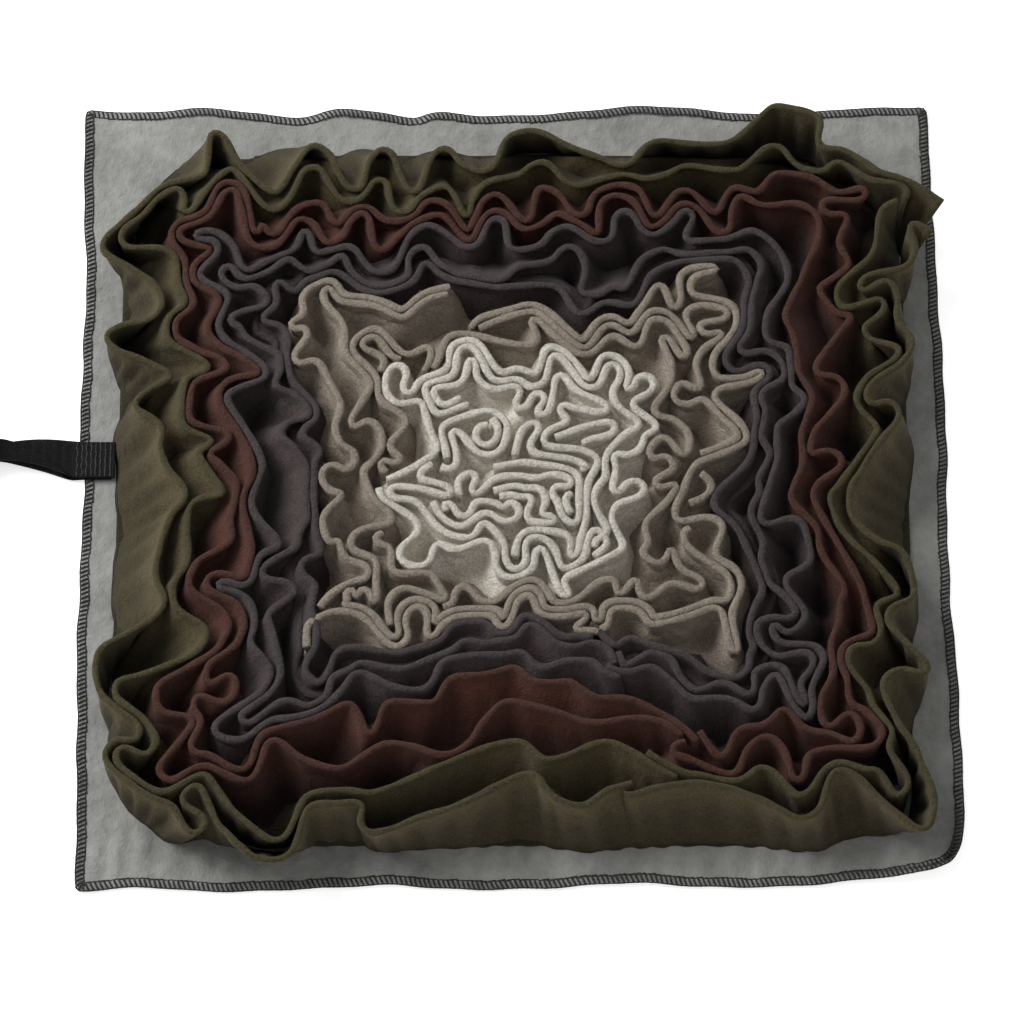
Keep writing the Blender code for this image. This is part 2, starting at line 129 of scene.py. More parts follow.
BROWN_OUTER: Line = (
    (86, -153), (78, -147), (73, -145), (60, -144), (48, -146), (37, -146), (23, -141), (7, -137),
    (0, -135), (-7, -137), (-17, -149), (-21, -156), (-30, -163), (-38, -164), (-51, -159),
    (-65, -157), (-78, -165), (-83, -169), (-90, -171), (-106, -166), (-116, -158), (-120, -156),
    (-124, -158), (-128, -170), (-131, -176), (-136, -178), (-147, -174), (-154, -171),
    (-162, -174), (-168, -179), (-173, -179), (-177, -176), (-178, -170), (-168, -157),
    (-162, -147), (-164, -143), (-175, -142), (-180, -138), (-181, -132), (-179, -125),
    (-165, -116), (-151, -108), (-145, -94), (-146, -87), (-150, -82), (-164, -73), (-166, -67),
    (-164, -60), (-160, -54), (-147, -47), (-144, -42), (-145, -34), (-142, -18), (-143, -11),
    (-152, -1), (-157, 4), (-148, 11), (-146, 14), (-148, 17), (-161, 20), (-166, 22), (-168, 26),
    (-167, 40), (-165, 46), (-160, 49), (-149, 52), (-149, 56), (-154, 60), (-162, 62), (-174, 70),
    (-176, 76), (-175, 82), (-167, 90), (-170, 102), (-171, 115), (-179, 128), (-176, 139),
    (-171, 142), (-165, 143), (-160, 146), (-156, 157), (-153, 161), (-148, 162), (-143, 159),
    (-140, 150), (-137, 134), (-134, 133), (-131, 139), (-129, 134), (-125, 132), (-121, 134),
    (-114, 147), (-105, 151), (-99, 150), (-92, 138), (-84, 147), (-80, 149), (-75, 149),
    (-66, 141), (-51, 143), (-47, 150), (-42, 152), (-37, 151), (-32, 147), (-25, 136), (-22, 134),
    (-18, 148), (-15, 153), (-10, 156), (-5, 154), (4, 142), (7, 140), (10, 142), (12, 155),
    (15, 159), (24, 155), (30, 144), (35, 141), (39, 144), (43, 156), (54, 161), (62, 160),
    (67, 157), (73, 144), (76, 142), (80, 145), (86, 156), (92, 158), (97, 155), (105, 146),
    (108, 147), (113, 158), (118, 161), (129, 158), (136, 167), (142, 169), (157, 168), (168, 159),
    (173, 157), (183, 159), (186, 157), (185, 153), (180, 152), (166, 153), (162, 150), (163, 146),
    (168, 144), (174, 145), (176, 142), (172, 132), (171, 127), (176, 117), (175, 113), (164, 105),
    (160, 101), (169, 88), (177, 86), (168, 73), (159, 59), (157, 53), (160, 50), (168, 49),
    (172, 43), (171, 36), (162, 25), (157, 20), (153, 8), (155, 5), (159, 7), (164, 7), (168, 5),
    (170, 1), (168, -4), (158, -11), (155, -16), (155, -22), (162, -36), (167, -46), (172, -56),
    (177, -66), (180, -75), (184, -91), (183, -96), (173, -99), (168, -104), (167, -112),
    (170, -121), (170, -130), (172, -136), (178, -139), (187, -150), (186, -156), (180, -160),
    (165, -159), (151, -162), (148, -168), (147, -175), (144, -178), (141, -176), (138, -163),
    (134, -156), (128, -153), (122, -156), (118, -161), (113, -173), (107, -174), (100, -171),
    (92, -167), (86, -165), (80, -163), (82, -158), (87, -156),
)
BROWN_INNER: Line = (
    (95, -155), (80, -144), (68, -137), (61, -134), (52, -133), (42, -133), (32, -126), (29, -124),
    (17, -124), (9, -122), (1, -115), (-12, -119), (-27, -120), (-33, -122), (-39, -133),
    (-47, -134), (-59, -134), (-65, -136), (-69, -148), (-72, -152), (-75, -149), (-80, -137),
    (-85, -135), (-97, -141), (-112, -147), (-125, -152), (-129, -157), (-133, -170), (-138, -172),
    (-143, -171), (-153, -165), (-160, -164), (-163, -160), (-159, -150), (-158, -144),
    (-161, -140), (-162, -135), (-159, -131), (-148, -135), (-143, -133), (-140, -128),
    (-141, -122), (-145, -120), (-153, -125), (-156, -123), (-156, -117), (-154, -112),
    (-143, -105), (-139, -99), (-137, -92), (-138, -84), (-142, -78), (-154, -73), (-157, -69),
    (-156, -65), (-151, -63), (-140, -66), (-136, -64), (-133, -51), (-135, -41), (-138, -30),
    (-139, -20), (-134, -6), (-137, 8), (-145, 22), (-150, 29), (-152, 35), (-151, 42), (-145, 47),
    (-131, 50), (-131, 53), (-142, 61), (-150, 65), (-156, 71), (-159, 77), (-154, 88), (-152, 93),
    (-155, 98), (-167, 105), (-168, 111), (-166, 116), (-157, 123), (-161, 126), (-173, 129),
    (-176, 133), (-174, 137), (-163, 141), (-158, 144), (-152, 155), (-148, 158), (-144, 158),
    (-141, 145), (-138, 129), (-134, 125), (-129, 124), (-124, 127), (-119, 136), (-116, 141),
    (-112, 143), (-104, 139), (-99, 129), (-95, 127), (-91, 129), (-88, 133), (-87, 140),
    (-81, 147), (-77, 145), (-75, 141), (-73, 127), (-70, 124), (-66, 125), (-57, 136), (-53, 141),
    (-42, 144), (-36, 143), (-28, 133), (-25, 129), (-22, 128), (-19, 139), (-12, 146), (-7, 146),
    (-2, 143), (2, 138), (7, 135), (17, 139), (21, 143), (25, 144), (35, 138), (44, 130),
    (45, 144), (46, 150), (50, 154), (55, 155), (61, 153), (65, 149), (71, 137), (75, 137),
    (80, 141), (83, 146), (88, 150), (93, 150), (99, 146), (106, 135), (111, 133), (114, 136),
    (115, 147), (118, 155), (122, 156), (129, 151), (137, 150), (147, 151), (154, 149), (160, 143),
    (161, 136), (160, 128), (155, 118), (151, 108), (144, 92), (142, 84), (146, 74), (147, 64),
    (146, 54), (152, 44), (155, 36), (152, 26), (149, 16), (150, 6), (149, -3), (143, -18),
    (145, -24), (156, -36), (157, -45), (160, -54), (166, -63), (170, -71), (167, -79), (167, -87),
    (162, -101), (163, -114), (162, -121), (156, -133), (157, -146), (161, -149), (169, -141),
    (174, -143), (176, -150), (174, -156), (170, -157), (161, -150), (153, -149), (147, -146),
    (143, -140), (137, -137), (132, -143), (125, -148), (119, -148), (113, -151), (108, -162),
    (104, -164), (98, -157), (94, -151),
)
PURPLE_OUTER_OUTER: Line = (
    (55, -118), (47, -116), (40, -108), (30, -109), (20, -114), (15, -115), (11, -113), (5, -105),
    (0, -104), (-10, -107), (-25, -109), (-33, -110), (-37, -113), (-40, -121), (-43, -125),
    (-47, -127), (-60, -126), (-72, -120), (-77, -117), (-82, -117), (-87, -121), (-96, -135),
    (-100, -140), (-105, -143), (-113, -145), (-123, -146), (-135, -155), (-143, -156),
    (-150, -153), (-151, -148), (-145, -142), (-136, -137), (-128, -131), (-124, -124),
    (-123, -117), (-127, -110), (-132, -105), (-134, -100), (-132, -93), (-132, -85), (-134, -78),
    (-138, -73), (-144, -70), (-150, -70), (-151, -67), (-146, -66), (-140, -69), (-134, -66),
    (-130, -53), (-120, -48), (-121, -43), (-130, -33), (-134, -26), (-134, -19), (-129, -4),
    (-131, 5), (-139, 20), (-148, 35), (-145, 40), (-131, 46), (-128, 49), (-129, 54), (-141, 64),
    (-148, 69), (-152, 74), (-154, 80), (-151, 91), (-149, 95), (-151, 99), (-162, 104),
    (-165, 107), (-166, 111), (-159, 119), (-156, 122), (-155, 126), (-158, 129), (-163, 128),
    (-167, 130), (-167, 132), (-161, 134), (-155, 133), (-149, 129), (-145, 123), (-143, 116),
    (-139, 111), (-129, 116), (-117, 122), (-113, 126), (-110, 136), (-107, 134), (-104, 124),
    (-101, 120), (-91, 125), (-86, 126), (-82, 123), (-76, 112), (-70, 110), (-64, 112),
    (-60, 118), (-55, 133), (-51, 138), (-45, 140), (-36, 135), (-26, 127), (-20, 127), (-17, 130),
    (-13, 141), (-8, 143), (-4, 141), (-3, 130), (-2, 125), (1, 123), (9, 124), (16, 127),
    (19, 132), (24, 135), (30, 136), (42, 129), (47, 128), (51, 129), (53, 134), (53, 141),
    (56, 145), (60, 146), (64, 143), (67, 137), (74, 133), (85, 142), (88, 146), (92, 147),
    (95, 143), (91, 133), (91, 128), (95, 126), (110, 129), (124, 136), (130, 134), (136, 129),
    (141, 122), (144, 114), (143, 105), (134, 90), (131, 82), (131, 75), (134, 70), (143, 67),
    (143, 60), (142, 49), (143, 45), (150, 39), (152, 35), (145, 28), (138, 24), (134, 19),
    (136, 3), (134, -6), (131, -15), (127, -30), (130, -34), (142, -31), (147, -32), (150, -36),
    (153, -52), (150, -57), (140, -63), (139, -68), (141, -73), (149, -83), (148, -89), (144, -93),
    (139, -95), (131, -90), (129, -94), (132, -99), (138, -101), (153, -102), (157, -106),
    (158, -112), (150, -128), (151, -136), (150, -142), (147, -142), (141, -127), (135, -118),
    (131, -118), (128, -121), (126, -127), (126, -134), (124, -138), (120, -139), (111, -131),
    (105, -130), (91, -132), (82, -123), (74, -114), (69, -113), (58, -118), (48, -113),
)
PURPLE_OUTER_INNER: Line = (
    (51, -113), (49, -108), (45, -104), (40, -102), (26, -104), (20, -102), (13, -92), (8, -92),
    (5, -97), (0, -100), (-8, -101), (-24, -100), (-31, -106), (-42, -109), (-53, -114),
    (-60, -115), (-75, -111), (-80, -112), (-90, -122), (-94, -129), (-99, -134), (-105, -137),
    (-111, -134), (-118, -135), (-129, -144), (-134, -147), (-138, -144), (-137, -140),
    (-125, -131), (-120, -124), (-118, -116), (-120, -106), (-122, -96), (-125, -88), (-124, -83),
    (-112, -74), (-111, -69), (-117, -66), (-124, -66), (-129, -63), (-127, -58), (-115, -51),
    (-110, -48), (-108, -42), (-107, -30), (-106, -18), (-105, -8), (-107, 0), (-111, 7),
    (-117, 12), (-119, 16), (-115, 21), (-109, 25), (-107, 30), (-110, 36), (-120, 43), (-122, 49),
    (-121, 56), (-123, 63), (-135, 70), (-140, 74), (-142, 79), (-147, 81), (-146, 85), (-134, 90),
    (-130, 95), (-131, 100), (-136, 102), (-143, 101), (-149, 104), (-153, 109), (-151, 114),
    (-147, 114), (-144, 109), (-139, 106), (-127, 110), (-122, 115), (-116, 118), (-106, 111),
    (-95, 118), (-88, 117), (-76, 106), (-69, 104), (-62, 106), (-56, 111), (-54, 119), (-51, 124),
    (-46, 125), (-34, 115), (-28, 111), (-13, 107), (-5, 107), (6, 113), (20, 117), (24, 122),
    (29, 125), (34, 123), (37, 118), (38, 111), (36, 99), (40, 96), (51, 99), (57, 98), (62, 102),
    (67, 116), (73, 121), (82, 123), (99, 121), (116, 124), (123, 122), (128, 116), (129, 107),
    (126, 97), (125, 87), (124, 77), (118, 65), (131, 64), (137, 60), (140, 54), (138, 48),
    (132, 44), (130, 37), (133, 30), (130, 15), (131, 6), (126, -9), (128, -16), (124, -22),
    (122, -29), (127, -44), (130, -60), (133, -68), (142, -78), (145, -83), (143, -86), (137, -87),
    (132, -86), (127, -89), (126, -96), (129, -103), (134, -107), (149, -106), (153, -110),
    (151, -117), (146, -122), (145, -128), (148, -134), (146, -137), (140, -122), (137, -115),
    (131, -113), (126, -115), (119, -128), (109, -124), (95, -126), (89, -123), (80, -112),
    (74, -108), (67, -108), (55, -114), (53, -106),
)
PURPLE_INNER_OUTER: Line = (
    (42, -99), (30, -100), (27, -99), (21, -96), (17, -91), (6, -86), (0, -96), (-8, -96),
    (-12, -90), (-20, -88), (-30, -89), (-35, -93), (-37, -98), (-52, -103), (-60, -105),
    (-70, -104), (-80, -103), (-87, -104), (-91, -109), (-92, -117), (-97, -124), (-102, -121),
    (-106, -114), (-101, -103), (-101, -98), (-102, -79), (-101, -68), (-107, -63), (-109, -57),
    (-104, -52), (-98, -50), (-101, -38), (-101, -30), (-103, -20), (-104, -10), (-103, 0),
    (-99, 5), (-103, 10), (-109, 14), (-107, 20), (-102, 25), (-103, 33), (-114, 46), (-118, 60),
    (-117, 69), (-118, 77), (-123, 81), (-129, 82), (-131, 86), (-126, 90), (-123, 95),
    (-125, 101), (-122, 105), (-114, 99), (-110, 101), (-108, 106), (-98, 112), (-91, 112),
    (-78, 102), (-70, 99), (-55, 104), (-50, 110), (-47, 118), (-43, 117), (-38, 111), (-31, 107),
    (-22, 105), (-13, 103), (-4, 102), (12, 103), (19, 103), (25, 101), (32, 88), (37, 85),
    (46, 92), (54, 92), (61, 90), (66, 94), (73, 110), (88, 118), (97, 118), (114, 119),
    (121, 114), (124, 105), (121, 96), (120, 86), (119, 76), (111, 64), (111, 57), (115, 53),
    (121, 54), (126, 58), (132, 57), (134, 52), (125, 41), (127, 25), (125, 16), (124, 7),
    (120, -1), (107, -13), (103, -19), (104, -26), (114, -35), (121, -49), (128, -65), (128, -73),
    (124, -80), (122, -95), (125, -101), (121, -107), (121, -114), (116, -120), (110, -123),
    (98, -117), (88, -109), (74, -106), (61, -99), (56, -101), (52, -105), (45, -99), (41, -96),
    (37, -96),
)
TAUPE_OUTER_OUTER: Line = (
    (-22, 78), (-19, 83), (-14, 86), (0, 89), (6, 91), (12, 90), (18, 86), (29, 73), (33, 69),
    (37, 69), (43, 80), (48, 84), (54, 84), (59, 80), (63, 81), (69, 92), (75, 103), (79, 102),
    (83, 91), (86, 91), (88, 96), (87, 108), (91, 114), (97, 117), (104, 117), (107, 114),
    (96, 110), (93, 105), (94, 99), (108, 96), (115, 93), (119, 87), (118, 79), (107, 67),
    (104, 60), (104, 53), (108, 49), (122, 51), (128, 54), (132, 54), (131, 50), (116, 45),
    (108, 43), (104, 39), (106, 34), (117, 23), (121, 16), (120, 11), (104, 4), (97, 1), (92, -4),
    (85, -19), (83, -27), (85, -33), (98, -31), (105, -32), (108, -37), (104, -49), (106, -54),
    (112, -57), (116, -62), (117, -70), (112, -84), (114, -100), (115, -106), (111, -103),
    (108, -87), (106, -81), (101, -80), (87, -87), (72, -91), (68, -89), (67, -85), (62, -82),
    (55, -81), (49, -83), (46, -93), (42, -97), (37, -98), (34, -101), (33, -97), (39, -89),
    (38, -85), (33, -84), (19, -88), (13, -87), (10, -76), (6, -75), (2, -79), (-1, -91),
    (-4, -95), (-7, -92), (-8, -87), (-13, -85), (-28, -86), (-33, -88), (-37, -92), (-39, -98),
    (-43, -98), (-42, -86), (-45, -81), (-50, -80), (-54, -84), (-55, -90), (-53, -96),
    (-56, -102), (-61, -102), (-70, -91), (-75, -86), (-82, -83), (-90, -83), (-97, -85),
    (-102, -89), (-105, -95), (-105, -103),
)
TAUPE_OUTER_INNER: Line = (
    (-18, 79), (-6, 84), (7, 87), (13, 86), (23, 75), (33, 65), (38, 65), (45, 76), (50, 80),
    (55, 79), (60, 75), (64, 76), (71, 86), (76, 88), (82, 86), (89, 76), (92, 72), (95, 75),
    (90, 86), (93, 91), (100, 93), (112, 90), (111, 85), (98, 82), (97, 77), (102, 75), (109, 76),
    (111, 73), (101, 67), (97, 62), (95, 55), (98, 43), (93, 43), (88, 46), (84, 43), (83, 37),
    (87, 34), (93, 34), (99, 37), (108, 26), (117, 15), (112, 11), (97, 5),
)
TAUPE_OUTER_WEST: Line = (
    (-99, -81), (-93, -73), (-82, -66), (-76, -65), (-73, -61), (-75, -57), (-86, -52), (-90, -42),
    (-94, -45), (-99, -33), (-96, -27), (-87, -18), (-92, -17), (-97, -13), (-99, -7), (-96, -2),
    (-91, -1), (-87, -4), (-83, -2), (-81, 3), (-83, 8), (-88, 10), (-91, 15), (-92, 22),
    (-89, 33), (-95, 47), (-102, 59), (-112, 57), (-115, 62), (-108, 71), (-107, 76), (-110, 79),
    (-114, 77), (-117, 81), (-112, 84), (-109, 88), (-111, 94), (-110, 101), (-105, 106),
    (-99, 109), (-93, 107), (-90, 101), (-84, 99), (-75, 99), (-61, 90), (-57, 89), (-46, 99),
    (-33, 103),
)
TAUPE_OUTER_TURN: Line = (
    (97, -6), (102, -10), (103, -15), (98, -20), (91, -23),
)
TAUPE_OUTER_SOUTH: Line = (
    (91, -37), (88, -38), (88, -44), (93, -50), (105, -58), (110, -62), (112, -70), (109, -77),
    (103, -76), (87, -83), (72, -87), (71, -83), (65, -78), (57, -77), (49, -78), (44, -83),
    (43, -90), (39, -93), (42, -86), (39, -81), (31, -80), (16, -83), (15, -76), (12, -71),
    (5, -71), (-1, -76), (-6, -89), (-8, -82), (-22, -81), (-30, -82), (-36, -86), (-40, -92),
    (-38, -83), (-43, -77), (-51, -76), (-57, -80), (-59, -87), (-58, -95), (-63, -97), (-72, -84),
    (-79, -80), (-88, -79), (-84, -77), (-86, -72), (-82, -69), (-80, -75), (-77, -69), (-72, -72),
    (-71, -79), (-70, -73), (-71, -66), (-70, -58), (-71, -53), (-82, -48), (-83, -42), (-77, -37),
    (-64, -34), (-62, -29), (-71, -21), (-76, -9), (-77, -3), (-72, 1), (-68, 7), (-67, 14),
    (-70, 21), (-76, 24), (-81, 20), (-84, 24), (-76, 38), (-73, 45), (-77, 52), (-87, 64),
    (-88, 80), (-98, 94), (-99, 101), (-96, 104), (-93, 99), (-88, 95), (-72, 94), (-60, 86),
    (-56, 85), (-45, 95), (-34, 99),
)
TAUPE_INNER_OUTER: Line = (
    (-46, 53), (-43, 58), (-42, 64), (-44, 68), (-54, 63), (-59, 65), (-67, 76), (-72, 79),
    (-77, 77), (-82, 72), (-84, 66), (-80, 60), (-74, 55), (-70, 48), (-70, 40), (-67, 34),
    (-56, 26), (-56, 20), (-64, 10), (-57, 2), (-62, 0), (-67, 3), (-69, -1), (-65, -5),
)
TAUPE_INNER_EAST: Line = (
    (-35, -81), (-30, -78), (-30, -73), (-26, -68), (-21, -71), (-17, -77), (-9, -78), (1, -69),
    (7, -65), (13, -67), (20, -79), (26, -81), (32, -79), (42, -69), (48, -66), (53, -68),
    (53, -75), (57, -74), (60, -69), (64, -66), (64, -72), (67, -77), (72, -75), (77, -70),
    (83, -67), (94, -70), (98, -67), (95, -63), (89, -61), (85, -57), (81, -47), (79, -53),
    (75, -57), (70, -55), (66, -50), (70, -45), (68, -39), (69, -32), (80, -22), (86, -13),
    (76, -15), (73, -11), (83, -5), (82, 0), (78, 3), (73, 0), (70, 5), (74, 11), (79, 14),
    (88, 3), (91, 8), (91, 16), (87, 22), (81, 26), (76, 26), (73, 31), (81, 43), (83, 50),
    (82, 58), (77, 72), (81, 72), (88, 60), (91, 64), (85, 78), (80, 83), (74, 84), (69, 82),
    (67, 70), (63, 67), (55, 73), (50, 73), (42, 64), (36, 62), (30, 65), (19, 77), (15, 82),
    (10, 83), (13, 70), (8, 67), (-6, 70), (-19, 74), (-27, 75), (-34, 73), (-39, 60), (-42, 54),
)
TAUPE_INNER_INNER: Line = (
    (-70, 52), (-67, 58), (-69, 63), (-79, 68), (-76, 73), (-71, 74), (-63, 63), (-58, 61),
)
TAUPE_INNER_SOUTH: Line = (
    (-67, -38), (-71, -41), (-68, -45), (-63, -46), (-61, -51), (-62, -58), (-58, -62), (-43, -61),
    (-37, -70), (-34, -75), (-36, -77), (-49, -72), (-56, -70), (-61, -73), (-64, -78), (-63, -90),
)
WHITE_OUTER_OUTER: Line = (
    (-65, -9), (-50, -3), (-39, 5), (-39, 11), (-42, 17), (-46, 31), (-48, 36), (-59, 33),
    (-65, 38), (-67, 45), (-66, 53), (-62, 59), (-57, 58), (-55, 52), (-57, 45), (-56, 40),
    (-52, 40), (-50, 45), (-46, 49), (-35, 53), (-33, 58), (-33, 64), (-30, 69), (-20, 71),
    (-13, 61), (-10, 55), (-5, 51), (1, 54), (7, 53), (11, 50), (14, 54), (17, 65), (21, 67),
    (26, 66), (31, 62), (37, 50), (39, 46), (42, 49), (46, 61), (52, 62), (57, 59), (60, 53),
    (60, 47), (58, 42), (60, 40), (63, 43), (64, 48), (68, 50), (73, 48), (73, 43), (70, 39),
    (62, 34), (64, 29), (74, 22), (73, 17), (68, 15), (67, 9), (64, 5), (58, 3), (53, 5), (51, 2),
    (53, -4), (51, -17), (55, -17), (59, -12), (64, -11), (68, -14), (66, -19), (54, -24),
    (51, -29), (51, -35), (57, -47), (54, -51), (42, -57), (29, -63), (26, -68), (30, -79),
    (26, -78), (21, -64), (16, -49), (13, -48), (11, -53), (11, -59), (7, -64), (1, -66),
    (-5, -64), (-9, -58), (-9, -51), (-12, -45), (-18, -45), (-25, -48), (-32, -48), (-38, -44),
    (-41, -48), (-42, -54), (-46, -58), (-52, -58), (-58, -54), (-59, -48), (-49, -38), (-49, -33),
    (-54, -28), (-67, -20), (-69, -14),
)
WHITE_OUTER_INNER: Line = (
    (-42, -1), (-47, -4), (-48, -9), (-36, -13), (-31, -16), (-33, -20), (-47, -15), (-61, -13),
    (-64, -16), (-61, -20), (-54, -20), (-48, -23), (-40, -34), (-34, -39), (-27, -42), (-20, -42),
    (-15, -34), (-7, -42), (-4, -48), (-4, -54), (-1, -60), (4, -60), (7, -55), (6, -48), (8, -43),
    (13, -42), (18, -44), (22, -49), (26, -60), (37, -54), (40, -42), (44, -38), (47, -43),
    (42, -53),
)
WHITE_OUTER_NORTH: Line = (
    (41, -50), (43, -43), (43, -44), (43, -43), (43, -44), (47, -41), (41, -24), (43, -15),
    (48, -9), (47, -3), (49, 4), (57, 14), (66, 21), (56, 29), (52, 35), (52, 41), (55, 46),
    (56, 52), (53, 57), (49, 55), (45, 43), (40, 41), (35, 45), (28, 58), (24, 62), (20, 60),
    (17, 47), (13, 44), (8, 43), (5, 47), (0, 48), (-6, 46), (-12, 49), (-18, 63), (-22, 68),
    (-27, 67), (-29, 62), (-31, 50), (-42, 47), (-46, 44), (-42, 32), (-38, 28), (-28, 32),
    (-23, 33),
)
WHITE_MIDDLE_OUTER: Line = (
    (-27, 37), (-36, 33), (-40, 37), (-41, 43), (-29, 44), (-25, 48), (-22, 60), (-19, 56),
    (-19, 49), (-15, 44), (-9, 41), (2, 44), (4, 39), (1, 34), (3, 29), (8, 32), (10, 38),
    (14, 40), (17, 36), (12, 27), (18, 27), (21, 40), (22, 48), (26, 50), (33, 40), (46, 33),
    (50, 29), (45, 27), (31, 30), (26, 33), (24, 28), (29, 23), (18, 17), (15, 12), (18, 8),
    (33, 7), (40, 5), (45, 0), (39, -12), (38, -29), (35, -46), (33, -52), (29, -53), (30, -47),
    (28, -41), (16, -38), (10, -38), (5, -40), (2, -46), (1, -53),
)
WHITE_MIDDLE_INNER: Line = (
    (22, 13), (36, 19), (51, 22), (53, 17), (48, 14), (41, 13), (36, 10),
)
WHITE_MIDDLE_WEST: Line = (
    (-34, 2), (-37, 16), (-36, 22), (-24, 27), (-12, 29), (-7, 26), (-3, 21), (-3, 14), (-5, 8),
    (-9, 4), (-15, 4), (-20, 7), (-27, 17), (-32, 18), (-29, 5), (-29, -2), (-33, -5), (-37, -3),
)
WHITE_MIDDLE_SOUTH: Line = (
    (-41, -22), (-38, -28), (-33, -33), (-26, -36), (-16, -29), (-11, -29), (-7, -33), (-2, -34),
    (3, -31), (3, -25), (-2, -22), (-5, -27), (-8, -23), (-19, -22), (-21, -28), (-25, -31),
    (-29, -28), (-31, -23), (-36, -22), (-34, -27),
)
WHITE_INNER_OUTER: Line = (
    (-27, -19), (-29, -13), (-26, -8), (-20, -6), (-19, -11), (-22, -16), (-18, -18), (-9, -9),
    (4, -8), (12, -10), (19, -8), (26, -9), (31, -12), (28, -16), (22, -14), (20, -20), (24, -23),
    (25, -29), (29, -35), (34, -34), (34, -18), (34, -10), (29, -5), (12, -2), (4, -1), (-10, -3),
)
WHITE_INNER_INNER: Line = (
    (-11, 22), (-16, 21), (-19, 16), (-17, 10), (-12, 9), (-8, 13), (-8, 19), (-11, 23),
)
WHITE_INNER_SOUTH: Line = (
    (-10, -16), (1, -13), (6, -15), (13, -15), (17, -19), (17, -25), (14, -30), (20, -31),
    (22, -35), (9, -34), (7, -28), (10, -23), (9, -19), (4, -20), (-1, -18), (-7, -19),
)
WHITE_INNER_NORTH: Line = (
    (1, 3), (4, 15), (8, 20), (13, 21), (14, 16), (10, 11), (9, 6), (14, 3), (30, 1), (37, -2),
    (39, -6), (35, -3),
)
WHITE_INNER_EAST: Line = (
    (31, -19), (27, -21), (28, -27), (31, -30),
)


class Cloth(Enum):
    """The stuffs that the mat is sewn from, each with its slot."""

    FELT = "grey_felt"
    WEBBING = "black_webbing"
    OLIVE = "olive_fleece"
    BROWN = "brown_fleece"
    PURPLE = "purple_grey_fleece"
    TAUPE = "taupe_fleece"
    WHITE = "off_white_fleece"


# ---------------------------------------------------------------- curves

FINE_STEP = 0.5  # spacing at which given lines are rounded, in millimetres
LOOK_AGAIN = 5  # rounds of pushing between two searches for close neighbours
SAME_BEND = 2.3  # stations this many gaps apart along a line may come close round a bend


def blur(values: np.ndarray, spread: float) -> np.ndarray:
    """Evens out a row of values along its length, keeping its two ends.

    Args:
        values: One row for each station.
        spread: Standard width of the evening, in stations.

    Returns:
        The evened rows.
    """
    reach = max(1, int(3 * spread))
    reach = min(reach, len(values) - 1)
    if reach < 1 or spread <= 0:
        return values.copy()
    weights = np.exp(-0.5 * (np.arange(-reach, reach + 1) / spread) ** 2)
    weights /= weights.sum()
    front = 2 * values[0] - values[reach:0:-1]
    back = 2 * values[-1] - values[-2 : -reach - 2 : -1]
    padded = np.concatenate([front, values, back])
    out = np.zeros(values.shape)
    for k, weight in enumerate(weights):
        out += weight * padded[k : k + len(values)]
    return out


def even_steps(points: np.ndarray, step: float) -> np.ndarray:
    """Walks a polyline in equal steps.

    Args:
        points: Stations of the polyline.
        step: Length of a step, in the same unit.

    Returns:
        The new stations, both ends kept.
    """
    gaps = np.linalg.norm(np.diff(points, axis=0), axis=1)
    arc = np.concatenate([[0.0], np.cumsum(gaps)])
    count = max(3, int(round(arc[-1] / step)) + 1)
    wanted = np.linspace(0.0, arc[-1], count)
    columns = [np.interp(wanted, arc, points[:, c]) for c in range(points.shape[1])]
    return np.stack(columns, axis=1)


def spline(given: np.ndarray, pieces: int) -> np.ndarray:
    """A smooth line through every given point.

    Args:
        given: The points, one row each.
        pieces: How many stations lie between two of them.

    Returns:
        The stations, both ends kept.
    """
    first, last = 2 * given[0] - given[1], 2 * given[-1] - given[-2]
    points = np.vstack([first, given, last])
    t = np.linspace(0.0, 1.0, pieces, endpoint=False)[:, None]
    spans = []
    for a, b, c, d in zip(points[:-3], points[1:-2], points[2:-1], points[3:]):
        start = 2 * b + (c - a) * t + (2 * a - 5 * b + 4 * c - d) * t**2
        spans.append(0.5 * (start + (3 * b - 3 * c + d - a) * t**3))
    return np.vstack([*spans, given[-1:]])


def flowing_line(line: Line, step: float, ease: float) -> np.ndarray:
    """A smooth line through given points.

    Args:
        line: The points, in millimetres.
        step: Spacing of the stations that come out.
        ease: How far corners are rounded, in millimetres.

    Returns:
        Stations in millimetres.
    """
    fine = even_steps(spline(np.array(line, float), 10), FINE_STEP)
    return even_steps(blur(fine, ease / FINE_STEP), step)


def side_of(line: np.ndarray, spread: float = 1.0) -> np.ndarray:
    """Unit vectors to the left of a plan line.

    Args:
        line: The line's stations.
        spread: How far, in stations, the line's heading is evened out first.

    Returns:
        One unit vector for each station.
    """
    ahead = np.gradient(blur(line, spread), axis=0)
    length = np.linalg.norm(ahead, axis=1, keepdims=True)
    ahead = ahead / np.maximum(length, 1e-6)
    return np.stack([-ahead[:, 1], ahead[:, 0]], axis=1)


def plan_tree(points: np.ndarray) -> KDTree:
    """Sorts plan points so that those near a place are quickly found.

    Args:
        points: The points, (x, y) each.

    Returns:
        The tree, with each point's row number.
    """
    tree = KDTree(len(points))
    for k, (x, y) in enumerate(points):
        tree.insert((x, y, 0.0), k)
    tree.balance()
    return tree


